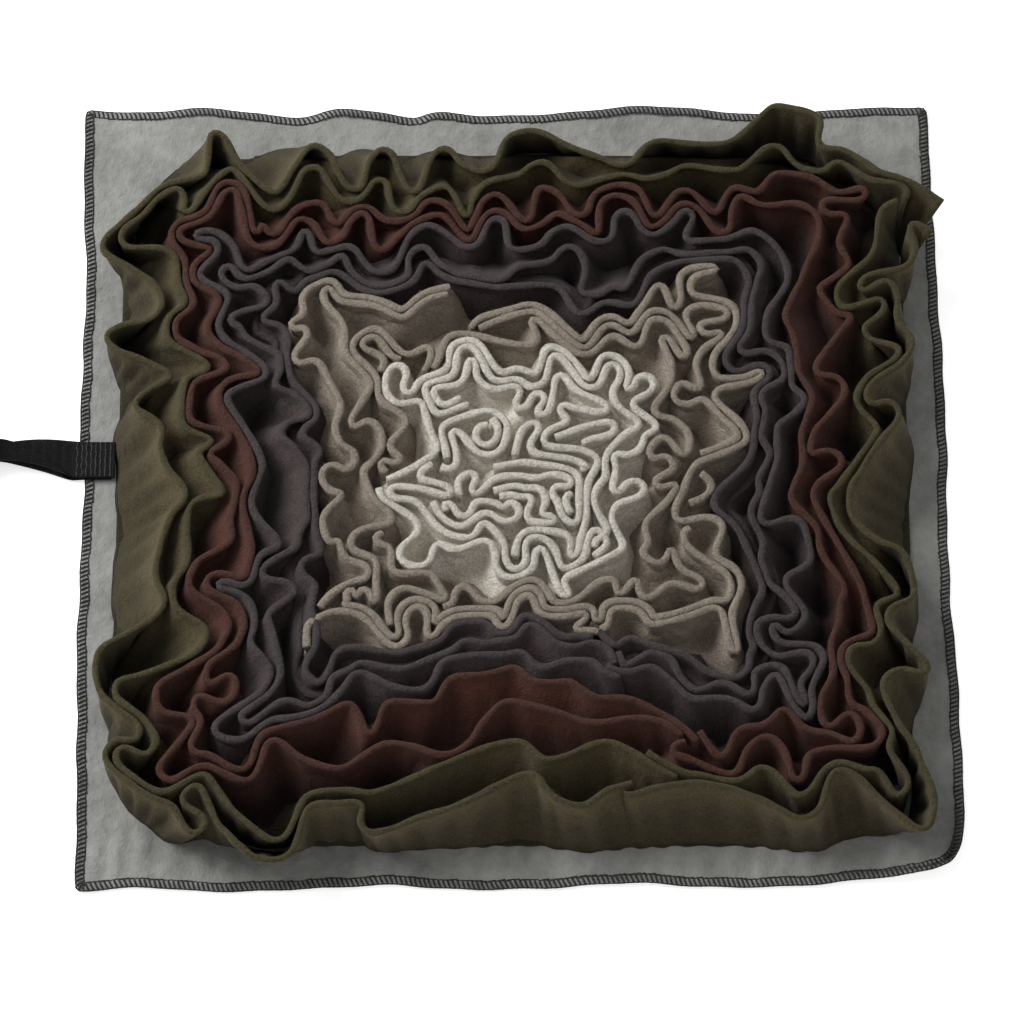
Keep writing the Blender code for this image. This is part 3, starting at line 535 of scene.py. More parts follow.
def keep_apart(lines: list[np.ndarray], gap: float, rounds: int, step: float) -> list:
    """Moves plan lines aside until every two folds leave room for their cloth.

    Args:
        lines: The lines, in millimetres.
        gap: Least distance between two lines' middles.
        rounds: How many times the lines are pushed.
        step: Spacing of the stations along each line.

    Returns:
        The moved lines.
    """
    starts = np.cumsum([0] + [len(line) for line in lines])
    given = np.vstack(lines)
    shifted = np.zeros(given.shape)
    owner = np.repeat(np.arange(len(lines)), [len(line) for line in lines])
    near = int(math.ceil(SAME_BEND * gap / step))
    i = j = np.zeros(0, int)
    for turn in range(rounds):
        points = given + shifted
        if turn % LOOK_AGAIN == 0:
            tree = plan_tree(points)
            pairs = []
            for k, (x, y) in enumerate(points):
                found = tree.find_range((x, y, 0.0), 1.5 * gap)
                pairs += [(k, n) for _, n, _ in found if n > k]
            i, j = np.array(pairs).T
            apart = (owner[i] != owner[j]) | (np.abs(i - j) > near)
            i, j = i[apart], j[apart]
        away = points[i] - points[j]
        distance = np.maximum(np.linalg.norm(away, axis=1), 1e-3)
        short = np.maximum(gap - distance, 0.0)
        push = away * (0.5 * short / distance)[:, None]
        move = np.zeros(points.shape)
        hits = np.zeros(len(points))
        np.add.at(move, i, push)
        np.add.at(move, j, -push)
        np.add.at(hits, i, short > 0)
        np.add.at(hits, j, short > 0)
        move /= np.maximum(hits, 1.0)[:, None] ** 0.5
        for a, b in zip(starts[:-1], starts[1:]):
            shifted[a:b] = blur(shifted[a:b] + blur(move[a:b], 0.8), 0.5)
    points = given + shifted
    return [blur(points[a:b], 0.6) for a, b in zip(starts[:-1], starts[1:])]


# ---------------------------------------------------------------- the ruffle walls


@dataclass(frozen=True)
class Seam:
    """The square ring along which a strip is sewn to the felt.

    half_x and half_y are its half sizes, corner how far its corners are rounded and gather how
    far the feet of the folds are evened out along it, all in millimetres.
    """

    half_x: float
    half_y: float
    corner: float = 24.0
    gather: float = 9.0

    def way_round(self, plan: np.ndarray) -> np.ndarray:
        """How far round the ring each plan point lies, clockwise from the front middle.

        Args:
            plan: Plan points, in millimetres.

        Returns:
            The way of each, in millimetres.
        """
        size = np.maximum(np.abs(plan[:, 0]) / self.half_x, np.abs(plan[:, 1]) / self.half_y)
        x, y = (plan / np.maximum(size, 1e-6)[:, None]).T
        a, b = self.half_x, self.half_y
        front = np.where(x <= 0, -x, 4 * (a + b) - x)
        left = a + (y + b)
        back = a + 2 * b + (x + a)
        right = 3 * a + 2 * b + (b - y)
        on_front, on_left, on_back = y <= -b + 1e-6, x <= -a + 1e-6, y >= b - 1e-6
        return np.where(on_front, front, np.where(on_left, left, np.where(on_back, back, right)))

    def spots_at(self, way: np.ndarray, shift: float) -> np.ndarray:
        """Plan points on the ring.

        Args:
            way: How far round the ring each lies, in millimetres.
            shift: How far outside the ring they stand.

        Returns:
            The points.
        """
        a, b = self.half_x, self.half_y
        way = np.mod(way, 4 * (a + b))
        corners = np.cumsum([0, a, 2 * b, 2 * a, 2 * b, a])
        xs = np.interp(way, corners, [0, -a, -a, a, a, 0])
        ys = np.interp(way, corners, [-b, -b, b, b, -b, -b])
        return np.stack([xs * (1 + shift / a), ys * (1 + shift / b)], axis=1)

    def under(self, top: np.ndarray, shift: float, step: float) -> np.ndarray:
        """The foot line on the seam below a free edge.

        Args:
            top: Stations of the free edge.
            shift: How far outside the seam's middle this half stands.
            step: Spacing of the stations.

        Returns:
            One foot point for each station, in order round the seam.
        """
        whole = 4 * (self.half_x + self.half_y)
        way = np.unwrap(self.way_round(top), period=whole)
        way = blur(way, self.gather / step)
        if way[-1] < way[0]:
            way = -np.maximum.accumulate(-way)
        else:
            way = np.maximum.accumulate(way)
        way = blur(way, 4.0 / step)
        return blur(self.spots_at(way, shift), self.corner / step)


@dataclass(frozen=True)
class Wall:
    """One half of a strip, standing up from the seam to its free edge.

    shift is how far outside the seam it stands and inset how far inside its given edge it is
    kept, in millimetres. rooted is how far its foot follows the seam, height its share of the
    full height, pleats the swing of its gathers and the last field how far the shade painted low
    on its outside is held back, so that its outside stays pale down to the foot.
    """

    edge: Line
    seam: Seam
    shift: float
    rooted: float = 1.0
    height: float = 1.0
    inset: float = 0.0
    thickness: float = 2.8
    pleats: float = 0.7
    outside_unshaded: float = 0.0


# Heights of a wall's plan lines and of its rows of points, as shares of its full height.
LEVELS = (0.0, 0.35, 0.7, 1.0)
LADDER = (0.0, 0.1, 0.22, 0.35, 0.48, 0.6, 0.7, 0.8, 0.88, 0.95)
RIM_ANGLES = (12.0, 50.0, 90.0, 130.0, 168.0)  # how the free edge is rounded, in degrees
UP = 38.0  # height of a wall laid flat, in millimetres, for its pattern
FIBRE_SHARE = 1.3  # stands for a height share where the pile is a loose fibre


def ring_faces(count: int, width: int) -> np.ndarray:
    """Faces of a closed skin whose rings lie one after another, with both ends shut.

    Args:
        count: How many rings there are.
        width: How many points each has, out along one side and back along the other.

    Returns:
        Four corners for each face.
    """
    grid = np.arange(count * width).reshape(count, width)
    a, b = grid[:-1], grid[1:]
    faces = [np.stack([a, b, np.roll(b, -1, 1), np.roll(a, -1, 1)], axis=-1).reshape(-1, 4)]
    half_way = width // 2
    for row, flip in ((grid[0], False), (grid[-1], True)):
        low, high = row[:half_way], row[::-1][:half_way]
        cap = np.stack([low[:-1], low[1:], high[1:], high[:-1]], axis=-1)
        faces.append(cap[:, ::-1] if flip else cap)
    return np.vstack(faces)


@dataclass
class Ruffles:
    """All the standing walls together, so that none runs through another.

    step is the spacing of the stations, ease how far given corners are rounded, gap the least
    distance between two rims' middles and low_gaps the same lower down, foot_ease how far a
    foot's own corners are rounded, fold_reach the width over which its folds are told from its
    way, foot_z and top_z the usual heights of foot and edge, fibre the half width of a loose
    fibre and fibre_gap their spacing, all in millimetres. rounds and low_rounds are how many
    times the rims and the lines below are pushed apart, fold_share how much of its folds a
    foot on the seam keeps and bulge how much wider the brushed rim is than the cloth.
    """

    step: float = 2.4
    ease: float = 1.5
    gap: float = 3.9
    rounds: int = 60
    low_gaps: tuple[float, float] = (2.2, 3.2)
    low_rounds: int = 20
    foot_ease: float = 5.0
    fold_reach: float = 26.0
    fold_share: float = 0.3
    bulge: float = 1.38
    foot_z: float = 2.35
    top_z: float = 40.0
    fibre: float = 0.09
    fibre_gap: float = 0.45

    def shapes(self, walls: list[Wall]) -> list[tuple[np.ndarray, ...]]:
        """Works out each wall's middle surface.

        Args:
            walls: The walls, in any order.

        Returns:
            For each wall its plan lines at the heights of LEVELS.
        """
        tops = []
        for wall in walls:
            top = flowing_line(wall.edge, self.step, self.ease)
            if wall.inset:
                top = even_steps(blur(top - wall.inset * side_of(top, 2.5), 1.5), self.step)
            tops.append(top)
        tops = keep_apart(tops, self.gap, self.rounds, self.step)
        feet = []
        for wall, top in zip(walls, tops):
            seam = wall.seam.under(top, wall.shift, self.step)
            own = blur(top, self.foot_ease / self.step)
            folds = own - blur(top, self.fold_reach / self.step)
            feet.append(own + wall.rooted * (seam + self.fold_share * folds - own))
        rows = [feet]
        for level, gap in zip(LEVELS[1:3], self.low_gaps):
            between = [foot + (top - foot) * level**0.8 for foot, top in zip(feet, tops)]
            rows.append(keep_apart(between, gap, self.low_rounds, self.step))
        rows.append(tops)
        return [tuple(np.stack(levels)) for levels in zip(*rows)]

    def height_at(self, plan: np.ndarray) -> np.ndarray:
        """The uneven height of the free edges over the mat.

        Args:
            plan: Plan points, in millimetres.

        Returns:
            The height at each, in millimetres.
        """
        x, y = plan[:, 0], plan[:, 1]
        broad = 1.6 * np.sin(x / 31 + 0.6) + 1.6 * np.sin(y / 27 + 1.1)
        near, nearer = 0.9 * np.sin(x / 9.5 + y / 13.0), 0.7 * np.sin(y / 8.3 - x / 17.0)
        return self.top_z + broad + near + nearer

    def sheet_mesh(self, levels: tuple, wall: Wall, seed: int) -> Shell:
        """Gives one wall its thickness and its round free edge.

        Args:
            levels: The plan lines from shapes.
            wall: The wall.
            seed: Moves the unevenness along, so that walls differ.

        Returns:
            Points in metres, faces, and for each point (height share, way along, way up).
        """
        marks, ladder = np.array(LEVELS), np.array(LADDER)
        stack = np.stack(levels)
        count = stack.shape[1]
        top_z = self.foot_z + (self.height_at(stack[-1]) - self.foot_z) * wall.height
        along = np.arange(count) * self.step
        wobble = 0.14 * np.sin(along / 5.1 + seed) + 0.1 * np.sin(along / 2.3 + 2.1 * seed)
        half = wall.thickness / 2 + wobble
        seam_side = side_of(stack[0], 6.0)
        swing = np.sin(along / 2.5 + 1.9 * np.sin(along / 17 + seed))
        pleat = wall.pleats * (swing - 0.2)
        outer, inner = [], []
        for share in ladder:
            k = min(2, int(np.searchsorted(marks, share, side="right")) - 1)
            t = (share - marks[k]) / (marks[k + 1] - marks[k])
            plan = stack[k] * (1 - t) + stack[k + 1] * t
            plan = plan + seam_side * (pleat * 4 * share * (1 - share))[:, None]
            side = side_of(plan, 0.8) + 0.25 * (1 - share) * seam_side
            side /= np.maximum(np.linalg.norm(side, axis=1, keepdims=True), 1e-6)
            belly = 1.0 - 0.25 * (1 - share)
            z = self.foot_z + (top_z - self.foot_z - half) * share
            for rows, sign in ((outer, 1.0), (inner, -1.0)):
                xy = plan + sign * side * (half * belly)[:, None]
                rows.append(np.column_stack([xy, z]))
        side = side_of(stack[-1], 0.8)
        rim = []
        for angle in np.radians(RIM_ANGLES):
            xy = stack[-1] + side * (half * self.bulge * math.cos(angle))[:, None]
            rim.append(np.column_stack([xy, top_z - half + half * math.sin(angle)]))
        ring = np.stack(outer + rim + inner[::-1], axis=1)
        over = np.arange(len(rim))
        # Height shares of the rows, which set the shade painted low in the folds; on the outside
        # they are held up so that less of that shade reaches the foot.
        shares = np.concatenate([np.maximum(ladder, wall.outside_unshaded), over * 0 + 1, ladder[::-1]])
        down = UP + len(rim) + 1 + (1 - ladder[::-1]) * UP
        ups = np.concatenate([ladder * UP, UP + 1 + over, down])
        width = ring.shape[1]
        ways = np.repeat(along, width)
        data = np.column_stack([np.tile(shares, count), ways, np.tile(ups, count)])
        return ring.reshape(-1, 3) * MM, ring_faces(count, width), data

    def fuzz(self, levels: tuple, wall: Wall, seed: int) -> Shell:
        """The loose fibres along one wall's free edge, each a closed sliver.

        Args:
            levels: The plan lines from shapes.
            wall: The wall.
            seed: Makes each wall's fibres its own.

        Returns:
            Points in metres, faces and data, as from sheet_mesh.
        """
        line = levels[3]
        chance = np.random.default_rng(seed)
        count = int(len(line) * self.step / self.fibre_gap)
        where = np.sort(chance.uniform(0, len(line) - 1.001, count))
        first = where.astype(int)
        share = (where - first)[:, None]
        beside = side_of(line, 0.8)
        plan = line[first] * (1 - share) + line[first + 1] * share
        side = beside[first] * (1 - share) + beside[first + 1] * share
        top_z = self.foot_z + (self.height_at(plan) - self.foot_z) * wall.height
        half = wall.thickness / 2
        angle = np.radians(chance.uniform(-10, 190, count))
        out = np.column_stack([side * np.cos(angle)[:, None], np.sin(angle)])
        reach = np.array([half * self.bulge, half * self.bulge, half])
        root = np.column_stack([plan, top_z - half]) + out * reach * 0.95
        lean = out + chance.normal(0, 0.55, (count, 3))
        lean /= np.linalg.norm(lean, axis=1, keepdims=True)
        length = chance.uniform(0.6, 1.7, count)[:, None]
        across = np.cross(lean, chance.normal(0, 1, (count, 3)))
        across /= np.linalg.norm(across, axis=1, keepdims=True)
        third = np.cross(lean, across)
        base = root - 0.25 * lean
        corners = []
        for turn in (0.0, 2.1, 4.2):
            aside = math.cos(turn) * across + math.sin(turn) * third
            corners.append(base + self.fibre * aside)
        points = np.stack(corners + [root + lean * length], axis=1).reshape(-1, 3) * MM
        sliver = np.array([(0, 1, 3), (1, 2, 3), (2, 0, 3), (0, 2, 1)])
        faces = sliver[None] + 4 * np.arange(count)[:, None, None]
        ways, all_points = np.repeat(where * self.step, 4), np.ones(4 * count)
        data = np.column_stack([FIBRE_SHARE * all_points, ways, (UP + 3) * all_points])
        return points, faces.reshape(-1, 3), data


@dataclass
class Valleys:
    """The cloth low between the standing edges, where neighbouring folds lean together.

    cell is the spacing of its points, reach_x and reach_y how far it goes from the middle and
    start how far it lies below a free edge. Away from that it falls by slope for every
    millimetre until deepest, or in the middle of the mat middle_deepest, but not below lowest,
    nor its underside below under, and a free edge usually lies rise above that. square is how
    sharp the corners of its outline are, and hem the share of its reach over which it comes
    down at its outline.
    """

    cell: float = 2.0
    reach_x: float = 206.0
    reach_y: float = 198.5
    square: int = 6
    start: float = 7.5
    slope: float = 2.8
    deepest: float = 35.0
    middle_deepest: float = 23.0
    lowest: float = 4.2
    under: float = 2.4
    rise: float = 37.6
    hem: float = 0.09
    thickness: float = 1.8

    def parts(self, rims: list, owners: list[int], count: int, ruffles: Ruffles) -> list:
        """Works out the low cloth of every strip.

        Args:
            rims: Plan lines of the free edges, in millimetres.
            owners: Which strip each line is of.
            count: How many strips there are.
            ruffles: Gives the height of the free edges.

        Returns:
            For each strip its shell, as make_mesh takes it, or None.
        """
        xs = np.arange(-self.reach_x, self.reach_x + 0.1, self.cell)
        ys = np.arange(-self.reach_y, self.reach_y + 0.1, self.cell)
        x, y = np.meshgrid(xs, ys)
        plan = np.column_stack([x.ravel(), y.ravel()])
        every, marks = [], []
        for line, owner in zip(rims, owners):
            fine = even_steps(line, 1.2)
            every.append(fine)
            marks.append(np.full(len(fine), owner))
        spots, labels = np.vstack(every), np.concatenate(marks)
        nearest, distance = self.nearest(spots, plan)
        owner = labels[nearest].reshape(x.shape)
        distance = distance.reshape(x.shape)
        z = self.height(x, y, distance, ruffles)
        aside, ahead = np.abs(x) / self.reach_x, np.abs(y) / self.reach_y
        out = (aside**self.square + ahead**self.square) ** (1 / self.square)
        inside = out < 1
        z = self.lowest + (z - self.lowest) * np.clip((1.0 - out) / self.hem, 0, 1)
        made = []
        for strip in range(count):
            mine = (owner == strip) & inside
            cells = mine[:-1, :-1] | mine[1:, :-1] | mine[:-1, 1:] | mine[1:, 1:]
            cells = self.without_pinches(cells)
            if not cells.any():
                made.append(None)
                continue
            used = np.zeros(mine.shape, bool)
            low, high = slice(None, -1), slice(1, None)
            for rows, columns in ((low, low), (high, low), (low, high), (high, high)):
                used[rows, columns] |= cells
            over = z.copy()
            foreign = used & ~mine
            own_spots = spots[labels == strip]
            _, own = self.nearest(own_spots, np.column_stack([x[foreign], y[foreign]]))
            over[foreign] -= 2.2 * (own - distance[foreign])
            made.append(self.slab(np.stack([x, y, np.maximum(over, self.lowest)]), cells, used))
        return made

    @staticmethod
    def nearest(spots: np.ndarray, plan: np.ndarray) -> tuple[np.ndarray, np.ndarray]:
        """Finds the spot nearest to each plan point.

        Args:
            spots: Plan points to choose from.
            plan: Plan points that look for one.

        Returns:
            Which spot it is, and how far away.
        """
        tree = plan_tree(spots)
        found = [tree.find((x, y, 0.0)) for x, y in plan]
        return np.array([f[1] for f in found]), np.array([f[2] for f in found])

    def height(
        self, x: np.ndarray, y: np.ndarray, distance: np.ndarray, ruffles: Ruffles
    ) -> np.ndarray:
        """Lets the low cloth fall away from each free edge into rounded valleys.

        Args:
            x: How far right each point of the grid lies.
            y: How far back.
            distance: How far each lies from the nearest free edge.
            ruffles: Gives the height of the free edges.

        Returns:
            The height at each point, in millimetres.
        """
        broad = np.sin(x / 6.3 + 1.7 * np.sin(y / 11.0)) * np.sin(y / 7.1 + 1.4 * np.sin(x / 12.7))
        fine = np.sin(x / 3.1 + y / 5.3 + 1.5 * np.sin(y / 6.1 - x / 9.0))
        slope = self.slope * (1 + 0.3 * broad + 0.08 * fine)
        drop = self.start + slope * np.maximum(distance - 1.6, 0.0)
        ring = np.maximum(np.abs(x) / 120, np.abs(y) / 116)
        inner = np.clip((1.08 - ring) / 0.16, 0, 1)
        floor = self.deepest + (self.middle_deepest - self.deepest) * inner
        floor = floor + 3.0 * broad + 0.8 * fine
        drop = -4.0 * np.log(np.exp(-drop / 4.0) + np.exp(-floor / 4.0))
        z = ruffles.height_at(np.column_stack([x.ravel(), y.ravel()])).reshape(x.shape) - drop
        for _ in range(2):
            padded = np.pad(z, 1, mode="edge")
            beside = padded[:-2, 1:-1] + padded[2:, 1:-1] + padded[1:-1, :-2] + padded[1:-1, 2:]
            z = (beside + 2 * z) / 6
        return np.maximum(z, self.lowest)

    @staticmethod
    def without_pinches(cells: np.ndarray) -> np.ndarray:
        """Fills a cell wherever two cells touch only at a corner, so that the slab stays closed.

        Args:
            cells: Which cells of the grid the cloth covers.

        Returns:
            The same with the corners filled.
        """
        cells = cells.copy()
        for _ in range(20):
            a, b, c, d = cells[:-1, :-1], cells[:-1, 1:], cells[1:, :-1], cells[1:, 1:]
            one, other = a & d & ~b & ~c, b & c & ~a & ~d
            if not (one.any() or other.any()):
                break
            grown = cells.copy()
            grown[:-1, 1:] |= one
            grown[:-1, :-1] |= other
            cells = grown
        return cells

    def slab(self, grid: np.ndarray, cells: np.ndarray, used: np.ndarray) -> Shell:
        """Gives the low cloth its thickness.

        Args:
            grid: The layers x, y and z of its upper face.
            cells: Which cells it covers.
            used: Which points these have.

        Returns:
            The closed slab, with its height share and its place as values.
        """
        number = np.cumsum(used.ravel()).reshape(used.shape) - 1
        count = int(used.sum())
        top = grid[:, used].T
        low = np.column_stack([top[:, :2], np.maximum(top[:, 2] - self.thickness, self.under)])
        points = np.vstack([top, low]) * MM
        rows, columns = np.nonzero(cells)
        a, b = number[rows, columns], number[rows, columns + 1]
        c, d = number[rows + 1, columns + 1], number[rows + 1, columns]
        upper = np.stack([a, b, c, d], axis=1)
        faces = [upper, upper[:, ::-1] + count]
        ends = np.concatenate([upper[:, [n, (n + 1) % 4]] for n in range(4)])
        key = np.sort(ends, axis=1) @ (count + 1, 1)
        _, first, times = np.unique(key, return_index=True, return_counts=True)
        rim = ends[first[times == 1]]
        faces.append(np.column_stack([rim[:, 1], rim[:, 0], rim[:, 0] + count, rim[:, 1] + count]))
        # Height share of the low cloth, which sets the shade painted low in the folds; it stays
        # below the rims' share.
        share = (np.concatenate([top[:, 2], low[:, 2]]) - self.under) / self.rise
        data = np.column_stack([np.clip(share, 0, 0.92), np.tile(top[:, :2], (2, 1))])
        return points, np.vstack(faces), data


def plain_object(name: str, points: list, lines: list, faces: list) -> Object:
    """Makes an object from its points.

    Args:
        name: Its name.
        points: Its points in metres.
        lines: Its lines, two points each.
        faces: Its faces.

    Returns:
        The object, in the scene.
    """
    mesh = bpy.data.meshes.new(name)
    mesh.from_pydata(points, lines, faces)
    obj = bpy.data.objects.new(name, mesh)
    bpy.context.scene.collection.objects.link(obj)
    return obj


def make_mesh(name: str, parts: list, finish: Material) -> Object:
    """Joins closed shells into one smooth object.

    Args:
        name: Name of the piece.
        parts: The shells, as sheet_mesh gives them.
        finish: Its material.

    Returns:
        The object, in the scene.
    """
    points = np.vstack([p for p, _, _ in parts])
    data = np.vstack([d for _, _, d in parts])
    faces, start = [], 0
    for shell, quads, _ in parts:
        faces += (quads + start).tolist()
        start += len(shell)
    obj = plain_object(name, points.tolist(), [], faces)
    mesh = obj.data
    mesh.update()
    share = mesh.attributes.new("height_share", "FLOAT", "POINT")
    share.data.foreach_set("value", data[:, 0].astype(np.float32))
    uv = mesh.uv_layers.new(name="cloth")
    corner = np.zeros(len(mesh.loops), np.int32)
    mesh.loops.foreach_get("vertex_index", corner)
    uv.data.foreach_set("uv", (data[corner, 1:3] * 0.01).astype(np.float32).ravel())
    mesh.shade_smooth()
    mesh.materials.append(finish)
    face_out(obj)
    return obj


def face_out(obj: Object) -> None:
    """Turns every closed shell's faces outwards.

    Args:
        obj: The object.
    """
    work = bmesh.new()
    work.from_mesh(obj.data)
    bmesh.ops.recalc_face_normals(work, faces=work.faces)
    work.to_mesh(obj.data)
    work.free()


# ---------------------------------------------------------------- finishes


def link(tree: NodeTree, out: NodeSocket, into: NodeSocket) -> None:
    """Joins two sockets."""
    tree.links.new(out, into)


def add_node(tree: NodeTree, kind: str, inputs: dict | None = None, **settings: object) -> Node:
    """Adds a node.

    Args:
        tree: The node tree.
        kind: Type of the node.
        inputs: What goes into its sockets, by name or number: another socket or a value.
        **settings: Its plain properties.

    Returns:
        The node.
    """
    made = tree.nodes.new(kind)
    for name, value in settings.items():
        setattr(made, name, value)
    for name, value in (inputs or {}).items():
        if isinstance(value, NodeSocket):
            link(tree, value, made.inputs[name])
        else:
            made.inputs[name].default_value = value
    return made


def add_sockets(tree: NodeTree, given: dict[str, str], made: dict[str, str]) -> tuple[Node, Node]:
    """Names the inputs and outputs of a node tree.

    Args:
        tree: The tree.
        given: Kind of each input, by its name.
        made: Kind of each output, by its name.

    Returns:
        The nodes that stand for the inputs and for the outputs.
    """
    for side, sockets in (("INPUT", given), ("OUTPUT", made)):
        for name, kind in sockets.items():
            tree.interface.new_socket(name=name, in_out=side, socket_type=f"NodeSocket{kind}")
    return tree.nodes.new("NodeGroupInput"), tree.nodes.new("NodeGroupOutput")


def noise(tree: NodeTree, where: NodeSocket, scale: float, detail: float = 2.0) -> NodeSocket:
    """Adds a noise texture.

    Args:
        tree: The node tree.
        where: Coordinates in metres.
        scale: Waves per metre.
        detail: Finer layers on top.

    Returns:
        The noise, a value from 0 to 1.
    """
    inputs = {"Vector": where, "Scale": scale, "Detail": detail, "Roughness": 0.6}
    return add_node(tree, "ShaderNodeTexNoise", inputs).outputs["Fac"]


def combine(tree: NodeTree, operation: str, *values: NodeSocket | float) -> NodeSocket:
    """Works out a sum or a product of values.

    Args:
        tree: The node tree.
        operation: Blender's name of it.
        *values: What it is worked out from.

    Returns:
        The result's socket.
    """
    inputs = dict(enumerate(values))
    return add_node(tree, "ShaderNodeMath", inputs, operation=operation).outputs[0]


def remap(tree: NodeTree, value: NodeSocket, span: tuple, to: tuple = (0.0, 1.0)) -> NodeSocket:
    """Maps a value from one span to another, held at the ends.

    Args:
        tree: The node tree.
        value: What is mapped.
        span: (from, to) of the value.
        to: (from, to) of the result.

    Returns:
        The result's socket.
    """
    inputs = {"Value": value, "From Min": span[0], "From Max": span[1]}
    inputs |= {"To Min": to[0], "To Max": to[1]}
    return add_node(tree, "ShaderNodeMapRange", inputs).outputs["Result"]


def mix_colours(
    tree: NodeTree, share: NodeSocket, first: object, second: object, how: str = "MIX"
) -> NodeSocket:
    """Mixes two colours, each a socket or four numbers.

    Args:
        tree: The node tree.
        share: How much of the second.
        first: The first colour.
        second: The second colour.
        how: Blender's name of the mix.

    Returns:
        The colour's socket.
    """
    inputs = {0: share, 6: first, 7: second}
    made = add_node(tree, "ShaderNodeMix", inputs, data_type="RGBA", blend_type=how)
    return made.outputs[2]


def new_finish(name: str, rough: float, gloss: float) -> tuple[Material, NodeTree, Node]:
    """Starts a material.

    Args:
        name: Its name.
        rough: How rough it is.
        gloss: Its specular level.

    Returns:
        The material, its node tree and its shader.
    """
    made = bpy.data.materials.new(name)
    made.use_nodes = True
    shader = made.node_tree.nodes["Principled BSDF"]
    shader.inputs["Roughness"].default_value = rough
    shader.inputs["Specular IOR Level"].default_value = gloss
    return made, made.node_tree, shader


def object_place(tree: NodeTree) -> NodeSocket:
    """Gives the place on the piece, in metres."""
    return add_node(tree, "ShaderNodeTexCoord").outputs["Object"]


def emboss(
    tree: NodeTree, shader: Node, height: NodeSocket, strength: float, depth: float
) -> None:
    """Raises a shader's surface by a height.

    Args:
        tree: The node tree.
        shader: The shader.
        height: The height, from 0 to about 1.
        strength: How strongly it shows.
        depth: What a height of 1 is, in metres.
    """
    inputs = {"Strength": strength, "Distance": depth, "Height": height}
    bump = add_node(tree, "ShaderNodeBump", inputs)
    link(tree, bump.outputs["Normal"], shader.inputs["Normal"])


def pile_group() -> NodeTree:
    """Makes the look of brushed fleece: mottled pile, a rim colour, faces painted lighter against
    their shade and shade painted low in the folds.

    Returns:
        The group, which puts out a colour and a height.
    """
    tree = bpy.data.node_groups.new("Brushed pile", "ShaderNodeTree")
    inputs = {"Place": "Vector", "Height share": "Float", "Face colour": "Color"}
    inputs |= {"Rim colour": "Color", "Hollow shading colour": "Color", "Mottle": "Float"}
    given, result = add_sockets(tree, inputs, {"Colour": "Color", "Height": "Float"})
    place, share = given.outputs["Place"], given.outputs["Height share"]
    clumps = noise(tree, place, 210.0, 3.0)
    pile = noise(tree, place, 900.0, 3.0)
    fibres = noise(tree, place, 2600.0)
    # Shade painted by height: low in the folds the colour goes over to the fold colour, which is
    # painted shade in the dark fleeces and painted light in the white. Higher up it is the face
    # colour, and at the top the rim colour.
    out_of_shade, rim = remap(tree, share, (0.25, 0.93)), remap(tree, share, (0.93, 1.0))
    colour = mix_colours(tree, out_of_shade, given.outputs["Hollow shading colour"], given.outputs["Face colour"])
    # The face colour is painted lighter than the rim colour to make up for the shade the faces lie
    # in.
    colour = mix_colours(tree, rim, colour, given.outputs["Rim colour"])
    clumped = remap(tree, clumps, (0.3, 0.7), (0.9, 1.08))
    # Loose fibres are painted up to half again as light: painted sheen of the fuzz.
    loose = remap(tree, share, (1.05, FIBRE_SHARE), (0.0, 0.5))
    tint = combine(tree, "ADD", clumped, loose)
    tint = combine(tree, "ADD", tint, remap(tree, pile, (0.3, 0.7), (-0.3, 0.3)))
    tint = combine(tree, "ADD", tint, remap(tree, fibres, (0.3, 0.7), (-0.2, 0.2)))
    grey = add_node(tree, "ShaderNodeCombineColor", {0: tint, 1: tint, 2: tint}).outputs[0]
    colour = mix_colours(tree, given.outputs["Mottle"], colour, grey, "MULTIPLY")
    link(tree, colour, result.inputs["Colour"])
    raised = combine(tree, "MULTIPLY_ADD", fibres, 0.5, pile)
    raised = combine(tree, "MULTIPLY_ADD", clumps, 1.6, raised)
    link(tree, raised, result.inputs["Height"])
    return tree


@dataclass(frozen=True)
class Fleece:
    """A brushed fleece in one dye, with colours for its faces and rims and shade painted low in
    its folds.
    """

    cloth: Cloth
    face: tuple[float, float, float]
    rim: tuple[float, float, float]
    hollow_shading: tuple[float, float, float]

    def dress(self, pile: NodeTree) -> Material:
        """Makes the material.

        Args:
            pile: The shared group of pile effects.

        Returns:
            The material.
        """
        made, tree, shader = new_finish(self.cloth.value, 0.95, 0.12)
        share = add_node(tree, "ShaderNodeAttribute", attribute_name="height_share")
        inputs = {
            "Place": object_place(tree),
            "Height share": share.outputs["Fac"],
            "Face colour": (*self.face, 1.0),
            "Rim colour": (*self.rim, 1.0),
            "Hollow shading colour": (*self.hollow_shading, 1.0),
            "Mottle": 1.0,
        }
        group = add_node(tree, "ShaderNodeGroup", inputs, node_tree=pile)
        link(tree, group.outputs["Colour"], shader.inputs["Base Color"])
        emboss(tree, shader, group.outputs["Height"], 1.0, 0.0012)
        shader.inputs["Sheen Weight"].default_value = 0.06
        shader.inputs["Sheen Roughness"].default_value = 0.55
        return made


@dataclass(frozen=True)
class Felt:
    """The grey needled felt of the base."""

    light: tuple[float, float, float] = (0.3, 0.3, 0.284)
    dark: tuple[float, float, float] = (0.19, 0.19, 0.182)

    def dress(self) -> Material:
        """Makes the material with its cloudy fibres and pressed hollows.

        Returns:
            The material.
        """
        made, tree, shader = new_finish(Cloth.FELT.value, 0.95, 0.15)
        place = object_place(tree)
        cloud, tufts = noise(tree, place, 28.0, 3.0), noise(tree, place, 160.0, 4.0)
        fibres = noise(tree, place, 1500.0)
        share = remap(tree, combine(tree, "MULTIPLY_ADD", tufts, 0.6, cloud), (0.55, 1.05))
        colour = mix_colours(tree, share, (*self.dark, 1.0), (*self.light, 1.0))
        link(tree, colour, shader.inputs["Base Color"])
        height = combine(tree, "MULTIPLY_ADD", fibres, 0.25, tufts)
        emboss(tree, shader, height, 0.8, 0.0018)
        return made


